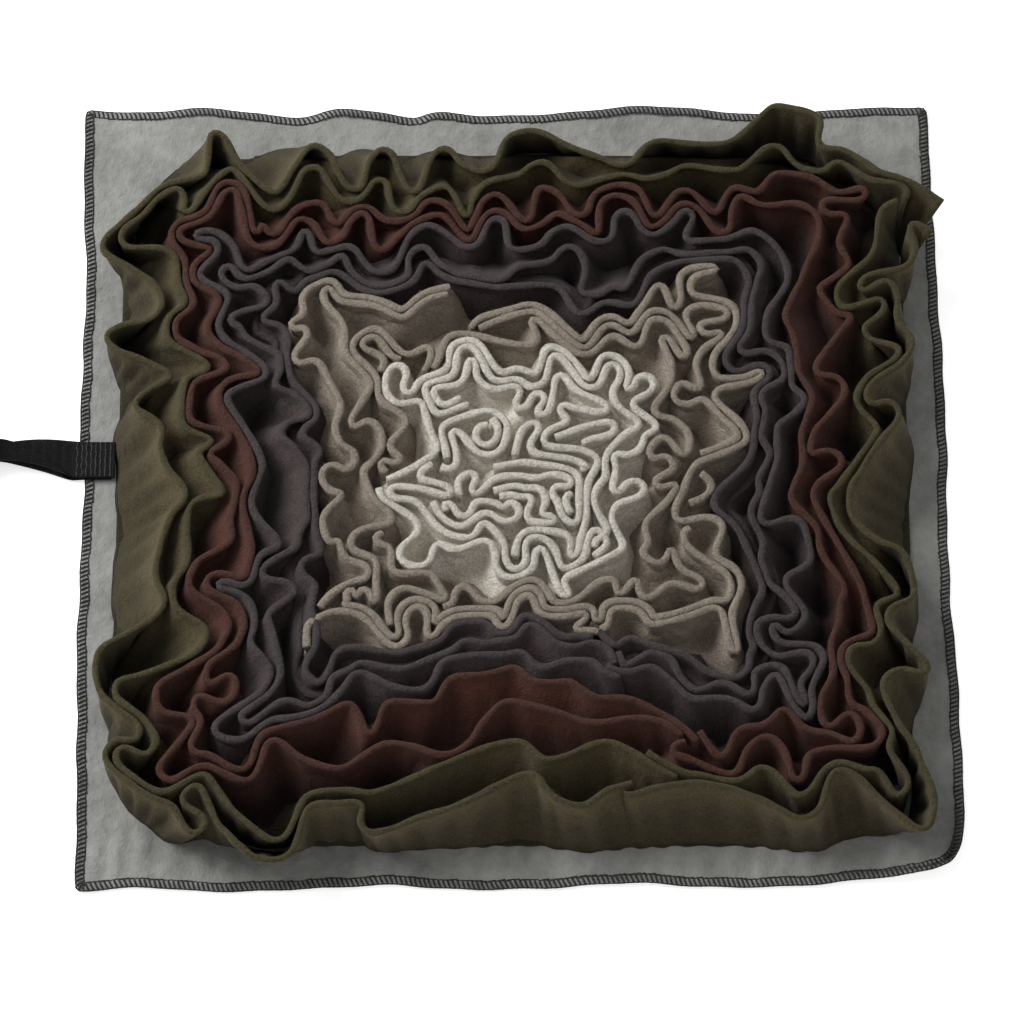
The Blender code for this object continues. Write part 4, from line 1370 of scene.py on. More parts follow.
@dataclass(frozen=True)
class Thread:
    """Spun black polyester, for the overlock, the tacks and the webbing."""

    name: str
    colour: tuple[float, float, float]
    ribs: float = 0.0

    def dress(self) -> Material:
        """Makes the material, with woven ribs if it has them.

        Returns:
            The material.
        """
        made, tree, shader = new_finish(self.name, 0.85, 0.12)
        place = object_place(tree)
        height = noise(tree, place, 1400.0)
        bright = tuple(4.2 * c for c in self.colour)
        share = remap(tree, height, (0.42, 0.78))
        colour = mix_colours(tree, share, (*self.colour, 1.0), (*bright, 1.0))
        link(tree, colour, shader.inputs["Base Color"])
        if self.ribs:
            inputs = {"Vector": place, "Scale": self.ribs, "Distortion": 1.2, "Detail Scale": 3.0}
            weave = add_node(tree, "ShaderNodeTexWave", inputs, bands_direction="X")
            height = combine(tree, "MULTIPLY_ADD", weave.outputs["Fac"], 0.8, height)
        emboss(tree, shader, height, 0.6, 0.0004)
        return made


# ---------------------------------------------------------------- the felt


# The cut edge, anticlockwise by sides: front from the left, right from the front, back, left.
# Each point is (right, back, lift off the ground), in millimetres.
FRONT_EDGE = (
    (-221, -222, 0), (-190, -220, 0.5), (-160, -221.5, 0.2), (-130, -222, 0), (-95, -220, 0.7),
    (-60, -219, 1.0), (-30, -220.5, 0.3), (0, -221, 0), (60, -218, 1.5), (120, -220, 0.5),
    (180, -216, 2.0), (208, -213, 6.0), (222, -208, 7.0),
)
RIGHT_EDGE = (
    (222, -208, 7.0), (228, -196, 4.0), (229, -170, 1.0), (228, -110, 0), (225, -40, 0.5),
    (226, 40, 0), (224, 110, 0.5), (222, 180, 0), (221, 228, 0),
)
BACK_EDGE = (
    (221, 228, 0), (180, 226, 1.0), (130, 223, 0.5), (75, 227, 2.5), (0, 222, 0.5),
    (-40, 224, 1.5), (-55, 221, 0.5), (-90, 226, 2.5), (-115, 221, 0.5), (-160, 226, 2.0),
    (-196, 224, 1.0), (-228, 226, 0),
)
LEFT_EDGE = (
    (-228, 226, 0), (-228, 180, 0), (-225, 120, 0.5), (-226, 40, 0), (-223, 0, 0),
    (-224, -80, 0.5), (-222, -160, 0), (-221, -222, 0),
)


@dataclass
class BaseFelt:
    """The grey felt that everything is sewn to, with its overlocked edge.

    pinch is how far the overlock presses its edge, band how far in that reaches, bulge how
    round the edge is, rim how far in a lifted edge comes down, pitch and thread the spacing
    and thickness of the stitches and edge_step the spacing of the edge's stations, all in
    millimetres, as are its spans. columns and rows count the cells of its grid.
    """

    span_x: float = 450.0
    span_y: float = 445.0
    thickness: float = 2.0
    pinch: float = 0.5
    band: float = 4.2
    bulge: float = 0.5
    rim: float = 20.0
    edge_step: float = 0.8
    columns: int = 150
    rows: int = 130
    pitch: float = 2.45
    thread: float = 0.42

    def edge(self) -> list[np.ndarray]:
        """Walks the cut edge in even steps.

        Returns:
            Stations (x, y, lift) of its four sides, anticlockwise, in millimetres.
        """
        sides = []
        for points in (FRONT_EDGE, RIGHT_EDGE, BACK_EDGE, LEFT_EDGE):
            sides.append(even_steps(spline(np.array(points, float), 24), self.edge_step))
        closed = np.vstack([side[:-1] for side in sides])
        count = len(closed)
        wave = np.arange(count) * self.edge_step
        outward = closed[:, :2] / np.linalg.norm(closed[:, :2], axis=1, keepdims=True)
        ripple = 0.35 * np.sin(wave / 5.3) + 0.3 * np.sin(wave / 9.7 + 1.0)
        closed[:, :2] += outward * ripple[:, None]
        tripled = blur(np.vstack([closed] * 3), 3.0)[count : 2 * count]
        tripled = np.vstack([tripled, tripled[:1]])
        cuts = np.cumsum([0] + [len(side) - 1 for side in sides])
        return [tripled[a : b + 1] for a, b in zip(cuts[:-1], cuts[1:])]

    @staticmethod
    def spread(cells: int) -> np.ndarray:
        """Shares from 0 to 1 that lie closer together at both ends.

        Args:
            cells: How many gaps lie between them.

        Returns:
            The shares.
        """
        even = np.linspace(0, 1, cells + 1)
        return 0.5 - 0.5 * np.cos(np.pi * (0.5 * even + 0.25)) / math.cos(math.pi / 4)

    @staticmethod
    def along(side: np.ndarray, shares: np.ndarray) -> np.ndarray:
        """Points of one side of the edge.

        Args:
            side: The side's stations.
            shares: How far along it each point lies, from 0 to 1.

        Returns:
            The points.
        """
        even = np.linspace(0, 1, len(side))
        return np.stack([np.interp(shares, even, side[:, c]) for c in range(3)], axis=1)

    def top_surface(self) -> tuple[np.ndarray, np.ndarray]:
        """The felt's upper face as a grid.

        Returns:
            The grid of points in millimetres, and how far in from the edge each lies.
        """
        front, right, back, left = self.edge()
        u, v = self.spread(self.columns), self.spread(self.rows)
        low, high = self.along(front, u), self.along(back[::-1], u)
        west, east = self.along(left[::-1], v), self.along(right, v)
        uu, vv = u[None, :, None], v[:, None, None]
        grid = low[None] * (1 - vv) + high[None] * vv
        grid = grid + west[:, None] * (1 - uu) + east[:, None] * uu
        grid -= low[0] * (1 - uu) * (1 - vv) + low[-1] * uu * (1 - vv)
        grid -= high[0] * (1 - uu) * vv + high[-1] * uu * vv
        uu, vv = uu[..., 0], vv[..., 0]
        across, along = np.minimum(uu, 1 - uu) * self.span_x, np.minimum(vv, 1 - vv) * self.span_y
        inside = np.minimum(across, along)
        lift = np.zeros(inside.shape)
        for heights, depth in (
            (low[None, :, 2], vv * self.span_y),
            (high[None, :, 2], (1 - vv) * self.span_y),
            (west[:, None, 2], uu * self.span_x),
            (east[:, None, 2], (1 - uu) * self.span_x),
        ):
            lift = np.maximum(lift, heights * np.clip(1 - depth / self.rim, 0, 1) ** 1.6)
        x, y = grid[..., 0], grid[..., 1]
        waves = 0.5 + 0.5 * np.sin(x / 2.15 + 1.2 * np.sin(x / 11) + 0.6 * np.sin(y / 9))
        front_share = np.clip((-176 - y) / 22, 0, 1) ** 1.5
        slow = 0.3 * np.sin(x / 17 + 1.3 * np.sin(y / 23))
        soft = 0.3 + slow * np.sin(y / 14 + 0.7 * np.sin(x / 19))
        front_share *= np.clip((inside - 3) / 8, 0, 1)
        grid[..., 2] = lift + 1.5 * waves * front_share + soft * np.clip(inside / 30, 0, 1)
        return grid, inside

    def build(self, finish: Material) -> Object:
        """Makes the felt, thinned where the overlock presses its edge.

        Args:
            finish: The felt's material.

        Returns:
            The object.
        """
        grid, inside = self.top_surface()
        squeeze = self.pinch * np.clip(1 - inside / self.band, 0, 1) ** 0.7
        height, width = inside.shape
        under, over = grid.copy(), grid.copy()
        under[..., 2] += squeeze * 0.9
        over[..., 2] += self.thickness - squeeze * 0.5
        middle = (under + over) / 2
        count = height * width
        index = np.arange(count).reshape(height, width)
        corners = [index[:-1, :-1], index[:-1, 1:], index[1:, 1:], index[1:, :-1]]
        cells = np.stack(corners, axis=-1).reshape(-1, 4)
        rim = np.concatenate([index[0, :-1], index[:-1, -1], index[-1, :0:-1], index[:0:-1, 0]])
        after = np.roll(rim, -1)
        cut = middle.reshape(-1, 3)[rim]
        away = cut[:, :2] / np.linalg.norm(cut[:, :2], axis=1, keepdims=True)
        cut = np.column_stack([cut[:, :2] + self.bulge * away, cut[:, 2]])
        points = np.vstack([over.reshape(-1, 3), under.reshape(-1, 3), cut]) * MM
        belt = 2 * count + np.arange(len(rim))
        belt_after = np.roll(belt, -1)
        faces = [cells, cells[:, ::-1] + count]
        faces.append(np.stack([rim, belt, belt_after, after], axis=1))
        faces.append(np.stack([rim + count, after + count, belt_after, belt], axis=1))
        data = np.zeros((len(points), 3))
        data[:, 1:] = points[:, :2] / MM
        return make_mesh("base_felt", [(points, np.vstack(faces), data)], finish)

    def stitch(self) -> Object:
        """Makes one overlock stitch: a slanted wrap over the edge, the knots and the chain.

        Returns:
            The stitch, its x along the edge and its y inwards.
        """
        wrap = [(-0.95, 3.9, 0.55), (-0.7, 3.0, 1.02), (-0.15, 1.4, 1.12), (0.45, 0.2, 0.95)]
        wrap += [(0.7, -0.35, 0.1), (0.6, 0.1, -0.72), (0.0, 1.6, -0.8), (-0.6, 3.2, -0.7)]
        knots = [(-1.75, -0.3, 0.5), (-0.6, -0.42, 0.25), (0.6, -0.42, 0.3), (1.75, -0.3, 0.5)]
        chain = [(-1.75, 3.95, 0.78), (-0.8, 3.75, 1.0), (0.4, 3.85, 1.05), (1.75, 4.15, 0.8)]
        runs = ((wrap, 1.25, 5), (knots, 0.9, 4), (chain, 0.75, 4))
        shells = [tube(np.array(path), self.thread * thick, sides) for path, thick, sides in runs]
        return loose_mesh("overlock_stitch", shells)

    def overlock(self, finish: Material) -> Object:
        """Runs the overlock stitches round the edge.

        Args:
            finish: The thread's material.

        Returns:
            The stitches as one object.
        """
        line = np.vstack([side[:-1] for side in self.edge()])
        points = line * MM
        points[:, 2] = np.maximum(line[:, 2] + 1.15, 1.42) * MM
        count = len(points)
        ring = [(n, (n + 1) % count) for n in range(count)]
        carrier = plain_object("edge_line", points.tolist(), ring, [])
        values = {"Pitch": self.pitch * MM, "Unevenness": 0.07, "Seed": 11, "Finish": finish}
        return repeat_along(carrier, self.stitch(), values, "overlock_thread")


def tube(path: np.ndarray, radius: float, sides: int) -> tuple[np.ndarray, list[tuple[int, ...]]]:
    """A round thread along a path.

    Args:
        path: Stations of its middle, in millimetres.
        radius: Its radius.
        sides: How many sides it has.

    Returns:
        Points in metres and faces, closed at both ends.
    """
    ahead = np.gradient(path, axis=0)
    ahead /= np.linalg.norm(ahead, axis=1, keepdims=True)
    first = np.cross(ahead[0], (0.0, 0.0, 1.0))
    if np.linalg.norm(first) < 0.2:
        first = np.cross(ahead[0], (0.0, 1.0, 0.0))
    rings = []
    side = first / np.linalg.norm(first)
    for point, direction in zip(path, ahead):
        side = side - direction * side.dot(direction)
        side /= np.linalg.norm(side)
        up = np.cross(direction, side)
        angles = (np.arange(sides) * 2 * math.pi / sides)[:, None]
        rings.append(point + radius * (np.cos(angles) * side + np.sin(angles) * up))
    faces = []
    for k in range(len(path) - 1):
        for n in range(sides):
            m = (n + 1) % sides
            faces.append((k * sides + n, k * sides + m, (k + 1) * sides + m, (k + 1) * sides + n))
    last = (len(path) - 1) * sides
    faces.append(tuple(range(sides - 1, -1, -1)))
    faces.append(tuple(last + n for n in range(sides)))
    return np.vstack(rings) * MM, faces


def loose_mesh(name: str, shells: list) -> Object:
    """Joins closed shells of points and faces into one smooth object.

    Args:
        name: Name of the object.
        shells: (points, faces) of each.

    Returns:
        The object, in the scene.
    """
    points, faces = [], []
    for shell, shell_faces in shells:
        start = len(points)
        points += shell.tolist()
        faces += [tuple(start + n for n in face) for face in shell_faces]
    obj = plain_object(name, points, [], faces)
    obj.data.shade_smooth()
    face_out(obj)
    return obj


def repeat_tree(name: str, on_curve: bool) -> NodeTree:
    """Nodes that set a piece again and again on a line or on points.

    Args:
        name: Name of the tree.
        on_curve: Whether the carrier is a line, walked at Pitch, or loose points.

    Returns:
        The tree.
    """
    tree = bpy.data.node_groups.new(name, "GeometryNodeTree")
    inputs = {"Carrier": "Geometry", "Pitch": "Float", "Stitch": "Object"}
    inputs |= {"Unevenness": "Float", "Seed": "Int", "Finish": "Material"}
    given, result = add_sockets(tree, inputs, {"Stitches": "Geometry"})
    carrier, seed = given.outputs["Carrier"], given.outputs["Seed"]
    if on_curve:
        curve = add_node(tree, "GeometryNodeMeshToCurve", {0: carrier})
        walk = {"Curve": curve.outputs[0], "Length": given.outputs["Pitch"]}
        spots = add_node(tree, "GeometryNodeCurveToPoints", walk, mode="LENGTH")
        turn = add_node(tree, "FunctionNodeAlignRotationToVector", axis="X", pivot_axis="Z")
        link(tree, spots.outputs["Tangent"], turn.inputs["Vector"])
    else:
        spots = add_node(tree, "GeometryNodeMeshToPoints", {"Mesh": carrier})
        spin = {"Min": (0.0, 0.0, -0.35), "Max": (0.0, 0.0, 0.35), "Seed": seed}
        turn = add_node(tree, "FunctionNodeRandomValue", spin, data_type="FLOAT_VECTOR")
    chosen = {"Object": given.outputs["Stitch"]}
    piece = add_node(tree, "GeometryNodeObjectInfo", chosen, transform_space="ORIGINAL")
    uneven = given.outputs["Unevenness"]
    low, high = combine(tree, "SUBTRACT", 1.0, uneven), combine(tree, "ADD", 1.0, uneven)
    limits = {2: low, 3: high, "Seed": seed}
    size = add_node(tree, "FunctionNodeRandomValue", limits, data_type="FLOAT")
    inputs = {"Points": spots.outputs["Points"], "Instance": piece.outputs["Geometry"]}
    inputs |= {"Rotation": turn.outputs[0], "Scale": size.outputs[1]}
    placed = add_node(tree, "GeometryNodeInstanceOnPoints", inputs)
    real = add_node(tree, "GeometryNodeRealizeInstances", {0: placed.outputs[0]})
    inputs = {"Geometry": real.outputs[0], "Material": given.outputs["Finish"]}
    dressed = add_node(tree, "GeometryNodeSetMaterial", inputs)
    link(tree, dressed.outputs[0], result.inputs[0])
    return tree


def repeat_along(
    carrier: Object, stitch: Object, values: dict[str, object], name: str
) -> Object:
    """Repeats a stitch on a carrier and keeps the result as a plain mesh.

    Args:
        carrier: The line, walked at a pitch, or the points; it is removed.
        stitch: The stitch that is repeated; it is removed.
        values: Values of the tree's inputs: Unevenness, Seed, Finish, and Pitch on a line.
        name: Name of the result.

    Returns:
        The stitches as one object.
    """
    tree = repeat_tree(f"{name} nodes", "Pitch" in values)
    modifier = carrier.modifiers.new("stitching", "NODES")
    modifier.node_group = tree
    values = {**values, "Stitch": stitch}
    for item in tree.interface.items_tree:
        if item.in_out == "INPUT" and item.name in values:
            modifier[item.identifier] = values[item.name]
    bpy.context.view_layer.update()
    graph = bpy.context.evaluated_depsgraph_get()
    mesh = bpy.data.meshes.new_from_object(carrier.evaluated_get(graph))
    carrier.modifiers.remove(modifier)
    obj = bpy.data.objects.new(name, mesh)
    bpy.context.scene.collection.objects.link(obj)
    mesh.name = name
    mesh.shade_smooth()
    for used in (carrier, stitch):
        data = used.data
        bpy.data.objects.remove(used)
        bpy.data.meshes.remove(data)
    return obj


# ---------------------------------------------------------------- the webbing


# Where the webbing's back edge passes, from the upper sewn end out to the turn and back below.
# Each station is (right, back, up) in millimetres, the slope up towards the front in degrees,
# how far from the front edge it is creased, and the angle of that crease in degrees.
WEB_STATIONS = (
    (-207.5, 27.6, 5.3, 0, 0, 0), (-218, 27.6, 5.35, 0, 0, 0), (-226, 27.7, 5.4, 0, 0, 0),
    (-231, 27.9, 6.0, -1, 1.0, 60), (-236, 28.0, 7.0, -2, 2.4, 135),
    (-242, 27.9, 8.2, -2, 4.4, 155), (-250, 27.2, 9.6, -2, 6.8, 160),
    (-258, 25.9, 10.7, -2, 9.2, 160), (-267, 24.0, 11.4, -2, 11.2, 155),
    (-277, 24.6, 11.2, 0, 10, 100), (-284, 26.2, 10.2, 0, 9, 35),
    (-288.6, 27.6, 6.6, 0, 8, 0), (-285.5, 28.2, 2.8, 0, 9, 30),
    (-277, 28.6, 1.6, 0, 10, 100), (-267, 28.6, 1.1, 0, 10.4, 150),
    (-258, 28.4, 1.0, 0, 8.4, 155), (-250, 28.2, 1.0, 0, 6.4, 155),
    (-242, 28.0, 0.95, 0, 4.2, 150), (-236, 27.8, 1.0, 0, 2.2, 130),
    (-231, 27.6, 1.6, 0, 0.8, 50), (-226, 27.5, 2.9, 0, 0, 0), (-218, 27.5, 3.5, 0, 0, 0),
    (-208.5, 27.5, 3.5, 0, 0, 0),
)


@dataclass
class CarryLoop:
    """The black webbing loop, its two ends stacked and sewn to the felt.

    bend is the width of the crease's curve and step the spacing of the stations, in millimetres
    as the other sizes are, and across counts the points over its width. The tacks stand in
    columns at tack_columns, tack_pitch apart from tack_start on, at the height tack_z.
    """

    width: float = 20.4
    thickness: float = 1.35
    bend: float = 2.6
    step: float = 1.0
    across: int = 41
    tack_columns: tuple = (-209.9, -212.6, -215.2, -217.6, -220.0, -222.4, -224.8, -227.4)
    tack_rows: int = 18
    tack_start: float = 8.3
    tack_pitch: float = 1.09
    tack_z: float = 6.02

    def middle(self) -> np.ndarray:
        """Works out the webbing's middle surface.

        Returns:
            A row of points from back edge to front edge for each station along it.
        """
        table = np.array(WEB_STATIONS, float)
        gaps = np.linalg.norm(np.diff(table[:, :3], axis=0), axis=1)
        arc = np.concatenate([[0], np.cumsum(gaps)])
        fine = np.arange(0, arc[-1], self.step)
        rows = np.stack([np.interp(fine, arc, table[:, c]) for c in range(6)], axis=1)
        rows = blur(rows, 2.0 / self.step)
        across = np.linspace(0, self.width, self.across)
        surface = []
        for x, y, z, lift, crease, fold in rows:
            share = np.clip((across - (self.width - crease)) / self.bend + 0.5, 0, 1)
            angle = np.radians(lift + fold * share * share * (3 - 2 * share))
            steps = np.stack([-np.cos(angle), np.sin(angle)], axis=1)
            steps = steps * (self.width / (self.across - 1))
            trail = np.vstack([[0, 0], np.cumsum((steps[1:] + steps[:-1]) / 2, axis=0)])
            surface.append(np.column_stack([np.full(self.across, x), trail + (y, z)]))
        return np.array(surface)

    def build(self, finish: Material) -> tuple[Object, float]:
        """Makes the webbing.

        Args:
            finish: Its material.

        Returns:
            The object and its length in metres.
        """
        middle = self.middle()
        along = np.gradient(middle, axis=0)
        across = np.gradient(middle, axis=1)
        normal = np.cross(along, across)
        normal /= np.linalg.norm(normal, axis=2, keepdims=True)
        edge = np.abs(np.linspace(-1, 1, self.across)) ** 12
        half = (self.thickness / 2) * (1 - 0.45 * edge)[None, :, None]
        one, other = middle + normal * half, middle - normal * half
        ring = np.concatenate([one, other[:, ::-1]], axis=1)
        count, width = ring.shape[:2]
        length = np.linalg.norm(np.diff(middle[:, 0], axis=0), axis=1).sum()
        way = np.repeat(np.arange(count) * self.step, width)
        ways = np.linspace(0, self.width, self.across)
        up = np.tile(np.concatenate([ways, 2 * self.width - ways]), count)
        data = np.column_stack([np.zeros(count * width), way, up])
        shell = (ring.reshape(-1, 3) * MM, ring_faces(count, width), data)
        return make_mesh("webbing", [shell], finish), length * MM

    def tacks(self, finish: Material) -> Object:
        """Sews the stacked ends down with close columns of short stitches.

        Args:
            finish: The thread's material.

        Returns:
            The stitches as one object.
        """
        spots = []
        for column, x in enumerate(self.tack_columns):
            loose = 0.1 + 0.03 * column
            for row in range(self.tack_rows):
                y = self.tack_start + row * self.tack_pitch + 0.3 * (column % 2)
                drift = loose * math.sin(7.3 * row + 3.1 * column)
                spots.append(((x + drift) * MM, (y + 0.3 * drift) * MM, self.tack_z * MM))
        carrier = plain_object("tack_spots", spots, [], [])
        bent = [(-0.3, -0.3, -0.1), (-0.1, -0.2, 0.22), (0.0, 0.0, 0.3)]
        bent += [(0.1, 0.2, 0.22), (0.3, 0.3, -0.1)]
        stitch = loose_mesh("tack_stitch", [tube(np.array(bent), 0.24, 5)])
        values = {"Unevenness": 0.2, "Seed": 5, "Finish": finish}
        return repeat_along(carrier, stitch, values, "tack_thread")


# ---------------------------------------------------------------- the strips


@dataclass(frozen=True)
class Strip:
    """One length of fleece, sewn to the felt along its middle so that both halves stand up.

    node is the solid that it dresses and width its flat width in metres.
    """

    name: str
    node: str
    cloth: Cloth
    walls: tuple[Wall, ...]
    width: float = 0.09

    def build(
        self, shapes: list, low: Shell | None, ruffles: Ruffles, finish: Material
    ) -> tuple[Object, float]:
        """Makes the strip from its walls' lines.

        Args:
            shapes: The walls' plan lines, in the order of walls.
            low: The low cloth between the walls, as Valleys gives it.
            ruffles: What shapes all walls.
            finish: The fleece's material.

        Returns:
            The object and the strip's flat length in metres.
        """
        parts, length = [], 0.0
        for number, (levels, wall) in enumerate(zip(shapes, self.walls)):
            parts.append(ruffles.sheet_mesh(levels, wall, number + len(self.name)))
            parts.append(ruffles.fuzz(levels, wall, number + 7 * len(self.name)))
            length += np.linalg.norm(np.diff(levels[3], axis=0), axis=1).sum() / 2
        if low is not None:
            parts.append(low)
        return make_mesh(self.name, parts, finish), length * MM


OLIVE_SEAM = Seam(205, 197.5, 50)
BROWN_SEAM = Seam(181, 172, 34)
PURPLE_OUTER_SEAM = Seam(155, 147, 28)
PURPLE_INNER_SEAM = Seam(130, 122, 22)
TAUPE_OUTER_SEAM = Seam(106, 98, 14)
TAUPE_INNER_SEAM = Seam(83, 76, 10)
WHITE_OUTER_SEAM = Seam(60, 54, 8)
WHITE_MIDDLE_SEAM = Seam(38, 34, 6)
WHITE_INNER_SEAM = Seam(16, 13, 3)
SEAM_HALF = 1.3  # how far each half stands from its seam's middle, in millimetres


@dataclass(frozen=True)
class Cut:
    """How a fleece is cut and gathered: see Wall for what each value means."""

    rooted: float
    thickness: float
    pleats: float = 0.7
    # How far the shade painted low on the outside is held back: see Wall.
    outside_unshaded: float = 0.0

    def halves(self, seam: Seam, outer: list[Line], inner: list[Line]) -> tuple[Wall, ...]:
        """The walls of one strip from their free edges.

        Args:
            seam: Where the strip is sewn.
            outer: Free edges that rise outside the seam.
            inner: Free edges that rise inside it.

        Returns:
            The walls.
        """
        same = {"rooted": self.rooted, "thickness": self.thickness}
        free = {"pleats": self.pleats, "outside_unshaded": self.outside_unshaded}
        outside = [Wall(edge, seam, SEAM_HALF, **same, **free) for edge in outer]
        return tuple(outside + [Wall(edge, seam, -SEAM_HALF, **same) for edge in inner])


OLIVE_CUT = Cut(1.0, 2.5, 1.4, 0.5)
BROWN_CUT = Cut(1.0, 2.7, 0.8)
PURPLE_CUT = Cut(1.0, 2.8, 0.6)
TAUPE_CUT = Cut(0.35, 3.0)
WHITE_CUT = Cut(0.0, 3.0)


def all_strips() -> list[Strip]:
    """Says how each strip of fleece is cut, dyed and sewn.

    Returns:
        The ten strips, from the outside in.
    """
    taupe_inside = [TAUPE_OUTER_INNER, TAUPE_OUTER_WEST, TAUPE_OUTER_TURN, TAUPE_OUTER_SOUTH]
    taupe_folds = [TAUPE_INNER_OUTER, TAUPE_INNER_EAST], [TAUPE_INNER_INNER, TAUPE_INNER_SOUTH]
    white_folds = [WHITE_OUTER_OUTER, WHITE_OUTER_NORTH], [WHITE_OUTER_INNER]
    middle_inside = [WHITE_MIDDLE_INNER, WHITE_MIDDLE_WEST, WHITE_MIDDLE_SOUTH]
    coil_outside = [WHITE_INNER_OUTER, WHITE_INNER_EAST, WHITE_INNER_NORTH]
    coil_inside = [WHITE_INNER_INNER, WHITE_INNER_SOUTH]
    inner_purple = (
        Wall(PURPLE_INNER_OUTER, PURPLE_INNER_SEAM, 1.8),
        Wall(PURPLE_INNER_OUTER, PURPLE_INNER_SEAM, -1.8, height=0.8, inset=-6.5),
    )
    olive_long = OLIVE_CUT.halves(OLIVE_SEAM, [OLIVE_LONG_OUTER], [OLIVE_LONG_INNER])
    olive_short = OLIVE_CUT.halves(OLIVE_SEAM, [OLIVE_SHORT_OUTER], [OLIVE_SHORT_INNER])
    brown = BROWN_CUT.halves(BROWN_SEAM, [BROWN_OUTER], [BROWN_INNER])
    purple = PURPLE_CUT.halves(PURPLE_OUTER_SEAM, [PURPLE_OUTER_OUTER], [PURPLE_OUTER_INNER])
    taupe_outer = TAUPE_CUT.halves(TAUPE_OUTER_SEAM, [TAUPE_OUTER_OUTER], taupe_inside)
    taupe_inner = TAUPE_CUT.halves(TAUPE_INNER_SEAM, *taupe_folds)
    white_outer = WHITE_CUT.halves(WHITE_OUTER_SEAM, *white_folds)
    white_middle = WHITE_CUT.halves(WHITE_MIDDLE_SEAM, [WHITE_MIDDLE_OUTER], middle_inside)
    white_inner = WHITE_CUT.halves(WHITE_INNER_SEAM, coil_outside, coil_inside)
    return [
        Strip("olive_long_strip", "olive_ruffle_long", Cloth.OLIVE, olive_long),
        Strip("olive_short_strip", "olive_ruffle_short", Cloth.OLIVE, olive_short),
        Strip("brown_strip", "brown_ruffle", Cloth.BROWN, brown),
        Strip("purple_outer_strip", "purple_outer_ruffle", Cloth.PURPLE, purple),
        Strip("purple_inner_strip", "purple_inner_ruffle", Cloth.PURPLE, inner_purple),
        Strip("taupe_outer_strip", "taupe_outer_ruffle", Cloth.TAUPE, taupe_outer),
        Strip("taupe_inner_strip", "taupe_inner_ruffle", Cloth.TAUPE, taupe_inner),
        Strip("white_outer_strip", "white_outer_ruffle", Cloth.WHITE, white_outer),
        Strip("white_middle_strip", "white_middle_ruffle", Cloth.WHITE, white_middle),
        Strip("white_inner_strip", "white_inner_ruffle", Cloth.WHITE, white_inner),
    ]


# ---------------------------------------------------------------- the room


@dataclass(frozen=True)
class Studio:
    """Pale floor, soft light and the camera.

    elevation is the camera's in degrees, distance its way to the middle of the mat in metres,
    lens its focal length in millimetres and shift how far its picture is moved, in pixels of
    a picture that is picture wide. sky and lamp are the strengths of the two lights, lamp_at
    and lamp_size the place and size of the lamp and floor half the floor's side, in metres.
    """

    elevation: float = 65.0
    distance: float = 3.347
    lens: float = 225.7
    shift: tuple[float, float] = (-1.0, -17.5)
    picture: int = 1024
    sky: float = 0.52
    lamp: float = 58.0
    lamp_at: tuple[float, float, float] = (-1.5, 0.75, 1.4)
    lamp_size: float = 1.4
    floor: float = 6.0

    def set_up(self) -> None:
        """Makes the floor, the light and the camera."""
        scene = bpy.context.scene
        scene.view_settings.view_transform = "Standard"
        corners = [(-1, -1), (1, -1), (1, 1), (-1, 1)]
        corners = [(x * self.floor, y * self.floor, 0) for x, y in corners]
        floor = plain_object("floor", corners, [], [(0, 1, 2, 3)])
        paper, _, shader = new_finish("pale_floor", 0.9, 0.1)
        shader.inputs["Base Color"].default_value = (0.9, 0.9, 0.9, 1)
        shader.inputs["Emission Color"].default_value = (1.0, 1.0, 1.0, 1)
        shader.inputs["Emission Strength"].default_value = 0.6
        floor.data.materials.append(paper)
        world = bpy.data.worlds.new("soft sky")
        world.use_nodes = True
        sky = world.node_tree.nodes["Background"]
        sky.inputs["Color"].default_value = (1.0, 1.0, 1.0, 1)
        sky.inputs["Strength"].default_value = self.sky
        scene.world = world
        light = bpy.data.lights.new("soft box", "AREA")
        light.energy = self.lamp
        light.size = self.lamp_size
        lamp = bpy.data.objects.new("soft box", light)
        lamp.location = self.lamp_at
        lamp.rotation_euler = (-Vector(self.lamp_at)).to_track_quat("-Z", "Y").to_euler()
        scene.collection.objects.link(lamp)
        lens = bpy.data.cameras.new("camera")
        lens.sensor_width = 36.0
        lens.lens = self.lens
        lens.shift_x, lens.shift_y = (way / self.picture for way in self.shift)
        lens.clip_end = 50
        eye = bpy.data.objects.new("camera", lens)
        tilt = math.radians(self.elevation)
        eye.location = (0, -self.distance * math.cos(tilt), self.distance * math.sin(tilt))
        eye.rotation_euler = (math.pi / 2 - tilt, 0, 0)
        scene.collection.objects.link(eye)
        scene.camera = eye
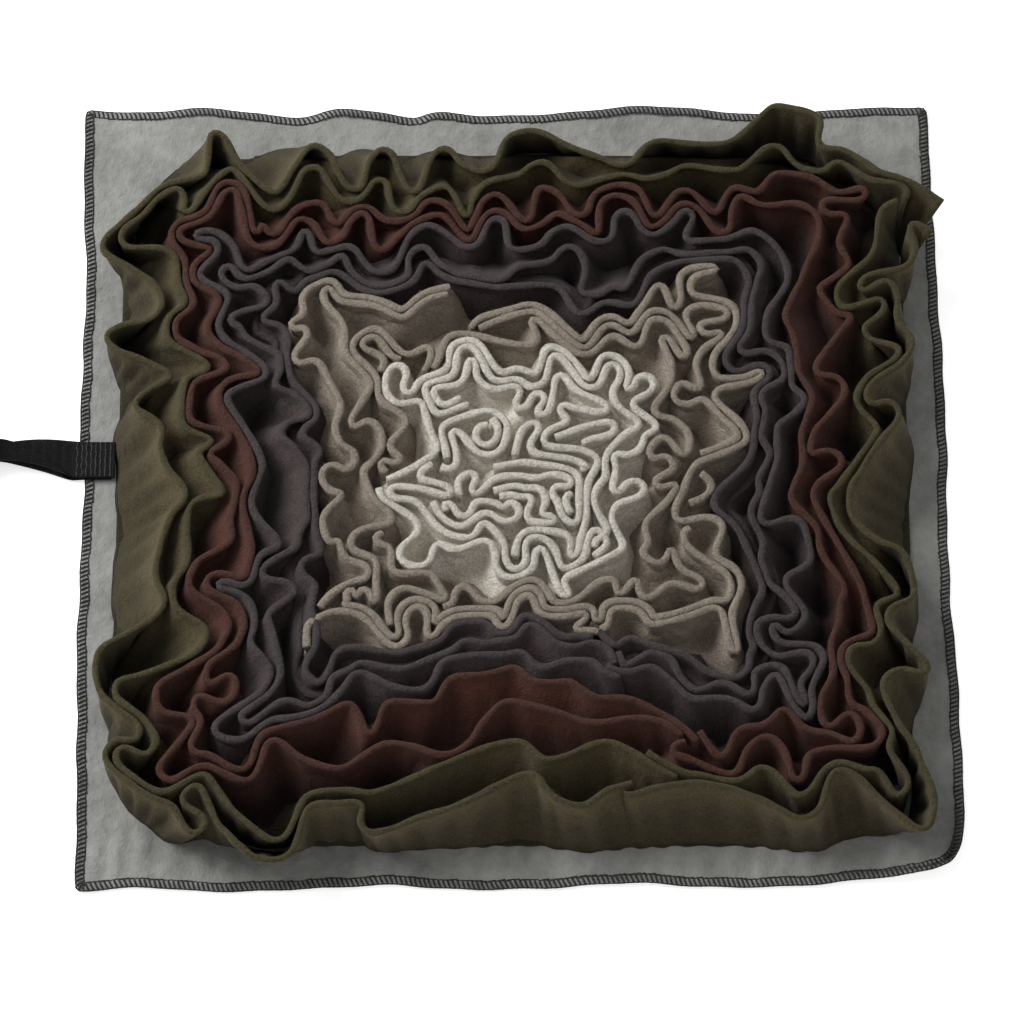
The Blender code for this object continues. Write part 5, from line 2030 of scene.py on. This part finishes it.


# Face, rim and fold colours of each fleece. The fold colour is shade painted low in the folds of
# the dark fleeces; for the white it is a little lighter than the face, painted light against the
# shade there. The faces are painted lighter than the rims to make up for the shade they lie in.
FLEECES = (
    Fleece(Cloth.OLIVE, (0.077, 0.059, 0.026), (0.056, 0.047, 0.021), (0.026, 0.021, 0.01)),
    Fleece(Cloth.BROWN, (0.076, 0.026, 0.016), (0.06, 0.024, 0.017), (0.021, 0.009, 0.007)),
    Fleece(Cloth.PURPLE, (0.06, 0.043, 0.042), (0.053, 0.042, 0.043), (0.024, 0.018, 0.018)),
    Fleece(Cloth.TAUPE, (0.31, 0.259, 0.207), (0.245, 0.207, 0.167), (0.25, 0.206, 0.162)),
    Fleece(Cloth.WHITE, (0.68, 0.64, 0.56), (0.53, 0.498, 0.432), (0.7, 0.65, 0.56)),
)


def main() -> None:
    """Builds and dresses the whole mat."""
    logging.basicConfig(level=logging.INFO)
    felt = BaseFelt()
    base = felt.build(Felt().dress())
    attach(base, "root")
    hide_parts("base_cloth")
    black = Thread("black_thread", (0.022, 0.022, 0.021)).dress()
    edging = felt.overlock(black)
    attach(edging, "root")
    log.info("felt: %d faces, overlock: %d", len(base.data.polygons), len(edging.data.polygons))

    loop = CarryLoop()
    webbing, length = loop.build(Thread("webbing_weave", (0.004, 0.004, 0.0042), 60.0).dress())
    tacks = loop.tacks(Thread("tack_thread", (0.045, 0.045, 0.045)).dress())
    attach(webbing, "root")
    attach(tacks, "root")
    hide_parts("carry_loop")
    log.info("webbing: %.0f mm long", length / MM)

    ruffles = Ruffles()
    strips = all_strips()
    shapes = ruffles.shapes([wall for strip in strips for wall in strip.walls])
    owners = [number for number, strip in enumerate(strips) for _ in strip.walls]
    rims = [0.4 * levels[2] + 0.6 * levels[3] for levels in shapes]
    low = Valleys().parts(rims, owners, len(strips), ruffles)
    slots: dict[str, list[Object]] = {}
    pile = pile_group()
    dyes = {fleece.cloth: fleece.dress(pile) for fleece in FLEECES}
    for number, strip in enumerate(strips):
        mine, shapes = shapes[: len(strip.walls)], shapes[len(strip.walls) :]
        obj, length = strip.build(mine, low[number], ruffles, dyes[strip.cloth])
        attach(obj, "root")
        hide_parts(strip.node)
        slots.setdefault(strip.cloth.value, []).append(obj)
        log.info("%s: %.0f mm, %d faces", strip.name, length / MM, len(obj.data.polygons))
    Studio().set_up()


if __name__ == "__main__":
    main()
